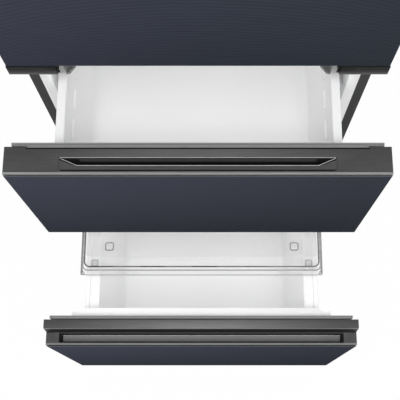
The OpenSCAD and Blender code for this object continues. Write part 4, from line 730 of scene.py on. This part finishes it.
def add_world():
    """Plain grey-white light from all round, seen as white where the camera sees past the floor."""
    world = bpy.data.worlds.new("studio")
    world.use_nodes = True
    bpy.context.scene.world = world
    tree = world.node_tree
    background = tree.nodes["Background"]
    background.inputs["Color"].default_value = WHITE
    background.inputs["Strength"].default_value = WORLD_LIGHT
    white = tree.nodes.new("ShaderNodeBackground")
    white.inputs["Strength"].default_value = 1.0
    paths = tree.nodes.new("ShaderNodeLightPath")
    mix = tree.nodes.new("ShaderNodeMixShader")
    tree.links.new(paths.outputs["Is Camera Ray"], mix.inputs["Fac"])
    tree.links.new(background.outputs[0], mix.inputs[1])
    tree.links.new(white.outputs[0], mix.inputs[2])
    tree.links.new(mix.outputs[0], tree.nodes["World Output"].inputs["Surface"])


def add_lamp(name, place, target, size, power, seen):
    """A rectangular lamp aimed at a point, which camera and gloss may or may not see."""
    data = bpy.data.lights.new(name, "AREA")
    data.shape = "RECTANGLE"
    data.size, data.size_y = size
    data.energy = power
    lamp = bpy.data.objects.new(name, data)
    lamp.location = place
    lamp.visible_camera = seen
    lamp.visible_glossy = seen
    lamp.rotation_euler = (Vector(target) - Vector(place)).to_track_quat("-Z", "Y").to_euler()
    bpy.context.scene.collection.objects.link(lamp)


# Softboxes round the object, with their power in watts
SOFTBOXES = {
    "top_softbox": dict(place=(0.0, -1.0, 3.3), target=(0, -0.35, 0.6), size=(1.5, 1.3), power=28),
    "left_softbox": dict(place=(-2.2, -1.2, 2.6), target=(0, -0.4, 0.6), size=(1.5, 1.5), power=18),
    "right_softbox": dict(place=(2.2, -1.2, 2.6), target=(0, -0.4, 0.6), size=(1.5, 1.5), power=18),
}

# Faint lamps that camera and gloss don't see, for the light that the pale surroundings throw into the drawers.
# Their place and target are given as x, the distance behind a node's front and the height above its top.
FILLS = {
    "upper_bin_fill": dict(node="upper_bin", place=(0, 0.293, 0.017), target=(0, 0.203, -0.265),
                           size=(0.46, 0.24), power=0.42),
    "lower_plug_fill": dict(node="lower_drawer_liner", place=(0, 0.1183, 0.089), target=(0, 0.0683, -0.031),
                            size=(0.5, 0.03), power=0.045),
    "slide_gap_fill_left": dict(node="upper_bin", place=(-0.26, 0.165, -0.105), target=(-0.285, 0.193, -0.135),
                                size=(0.02, 0.05), power=0.008),
    "slide_gap_fill_right": dict(node="upper_bin", place=(0.26, 0.165, -0.105), target=(0.285, 0.193, -0.135),
                                 size=(0.02, 0.05), power=0.008),
    "lower_bin_fill": dict(node="lower_bin", place=(0, 0.310, 0.049), target=(0, 0.210, -0.383),
                           size=(0.46, 0.24), power=0.7),
}


def add_fill(name, node, place, target, **look):
    """A faint lamp in or over a node."""
    low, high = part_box(node)
    ends = [(x, low[1] + behind_front, high[2] + above) for x, behind_front, above in (place, target)]
    add_lamp(name, *ends, **look, seen=False)


add_floor()
add_world()
for name, softbox in SOFTBOXES.items():
    add_lamp(name, **softbox, seen=True)
for name, fill in FILLS.items():
    add_fill(name, **fill)

bpy.context.scene.view_settings.view_transform = "Standard"
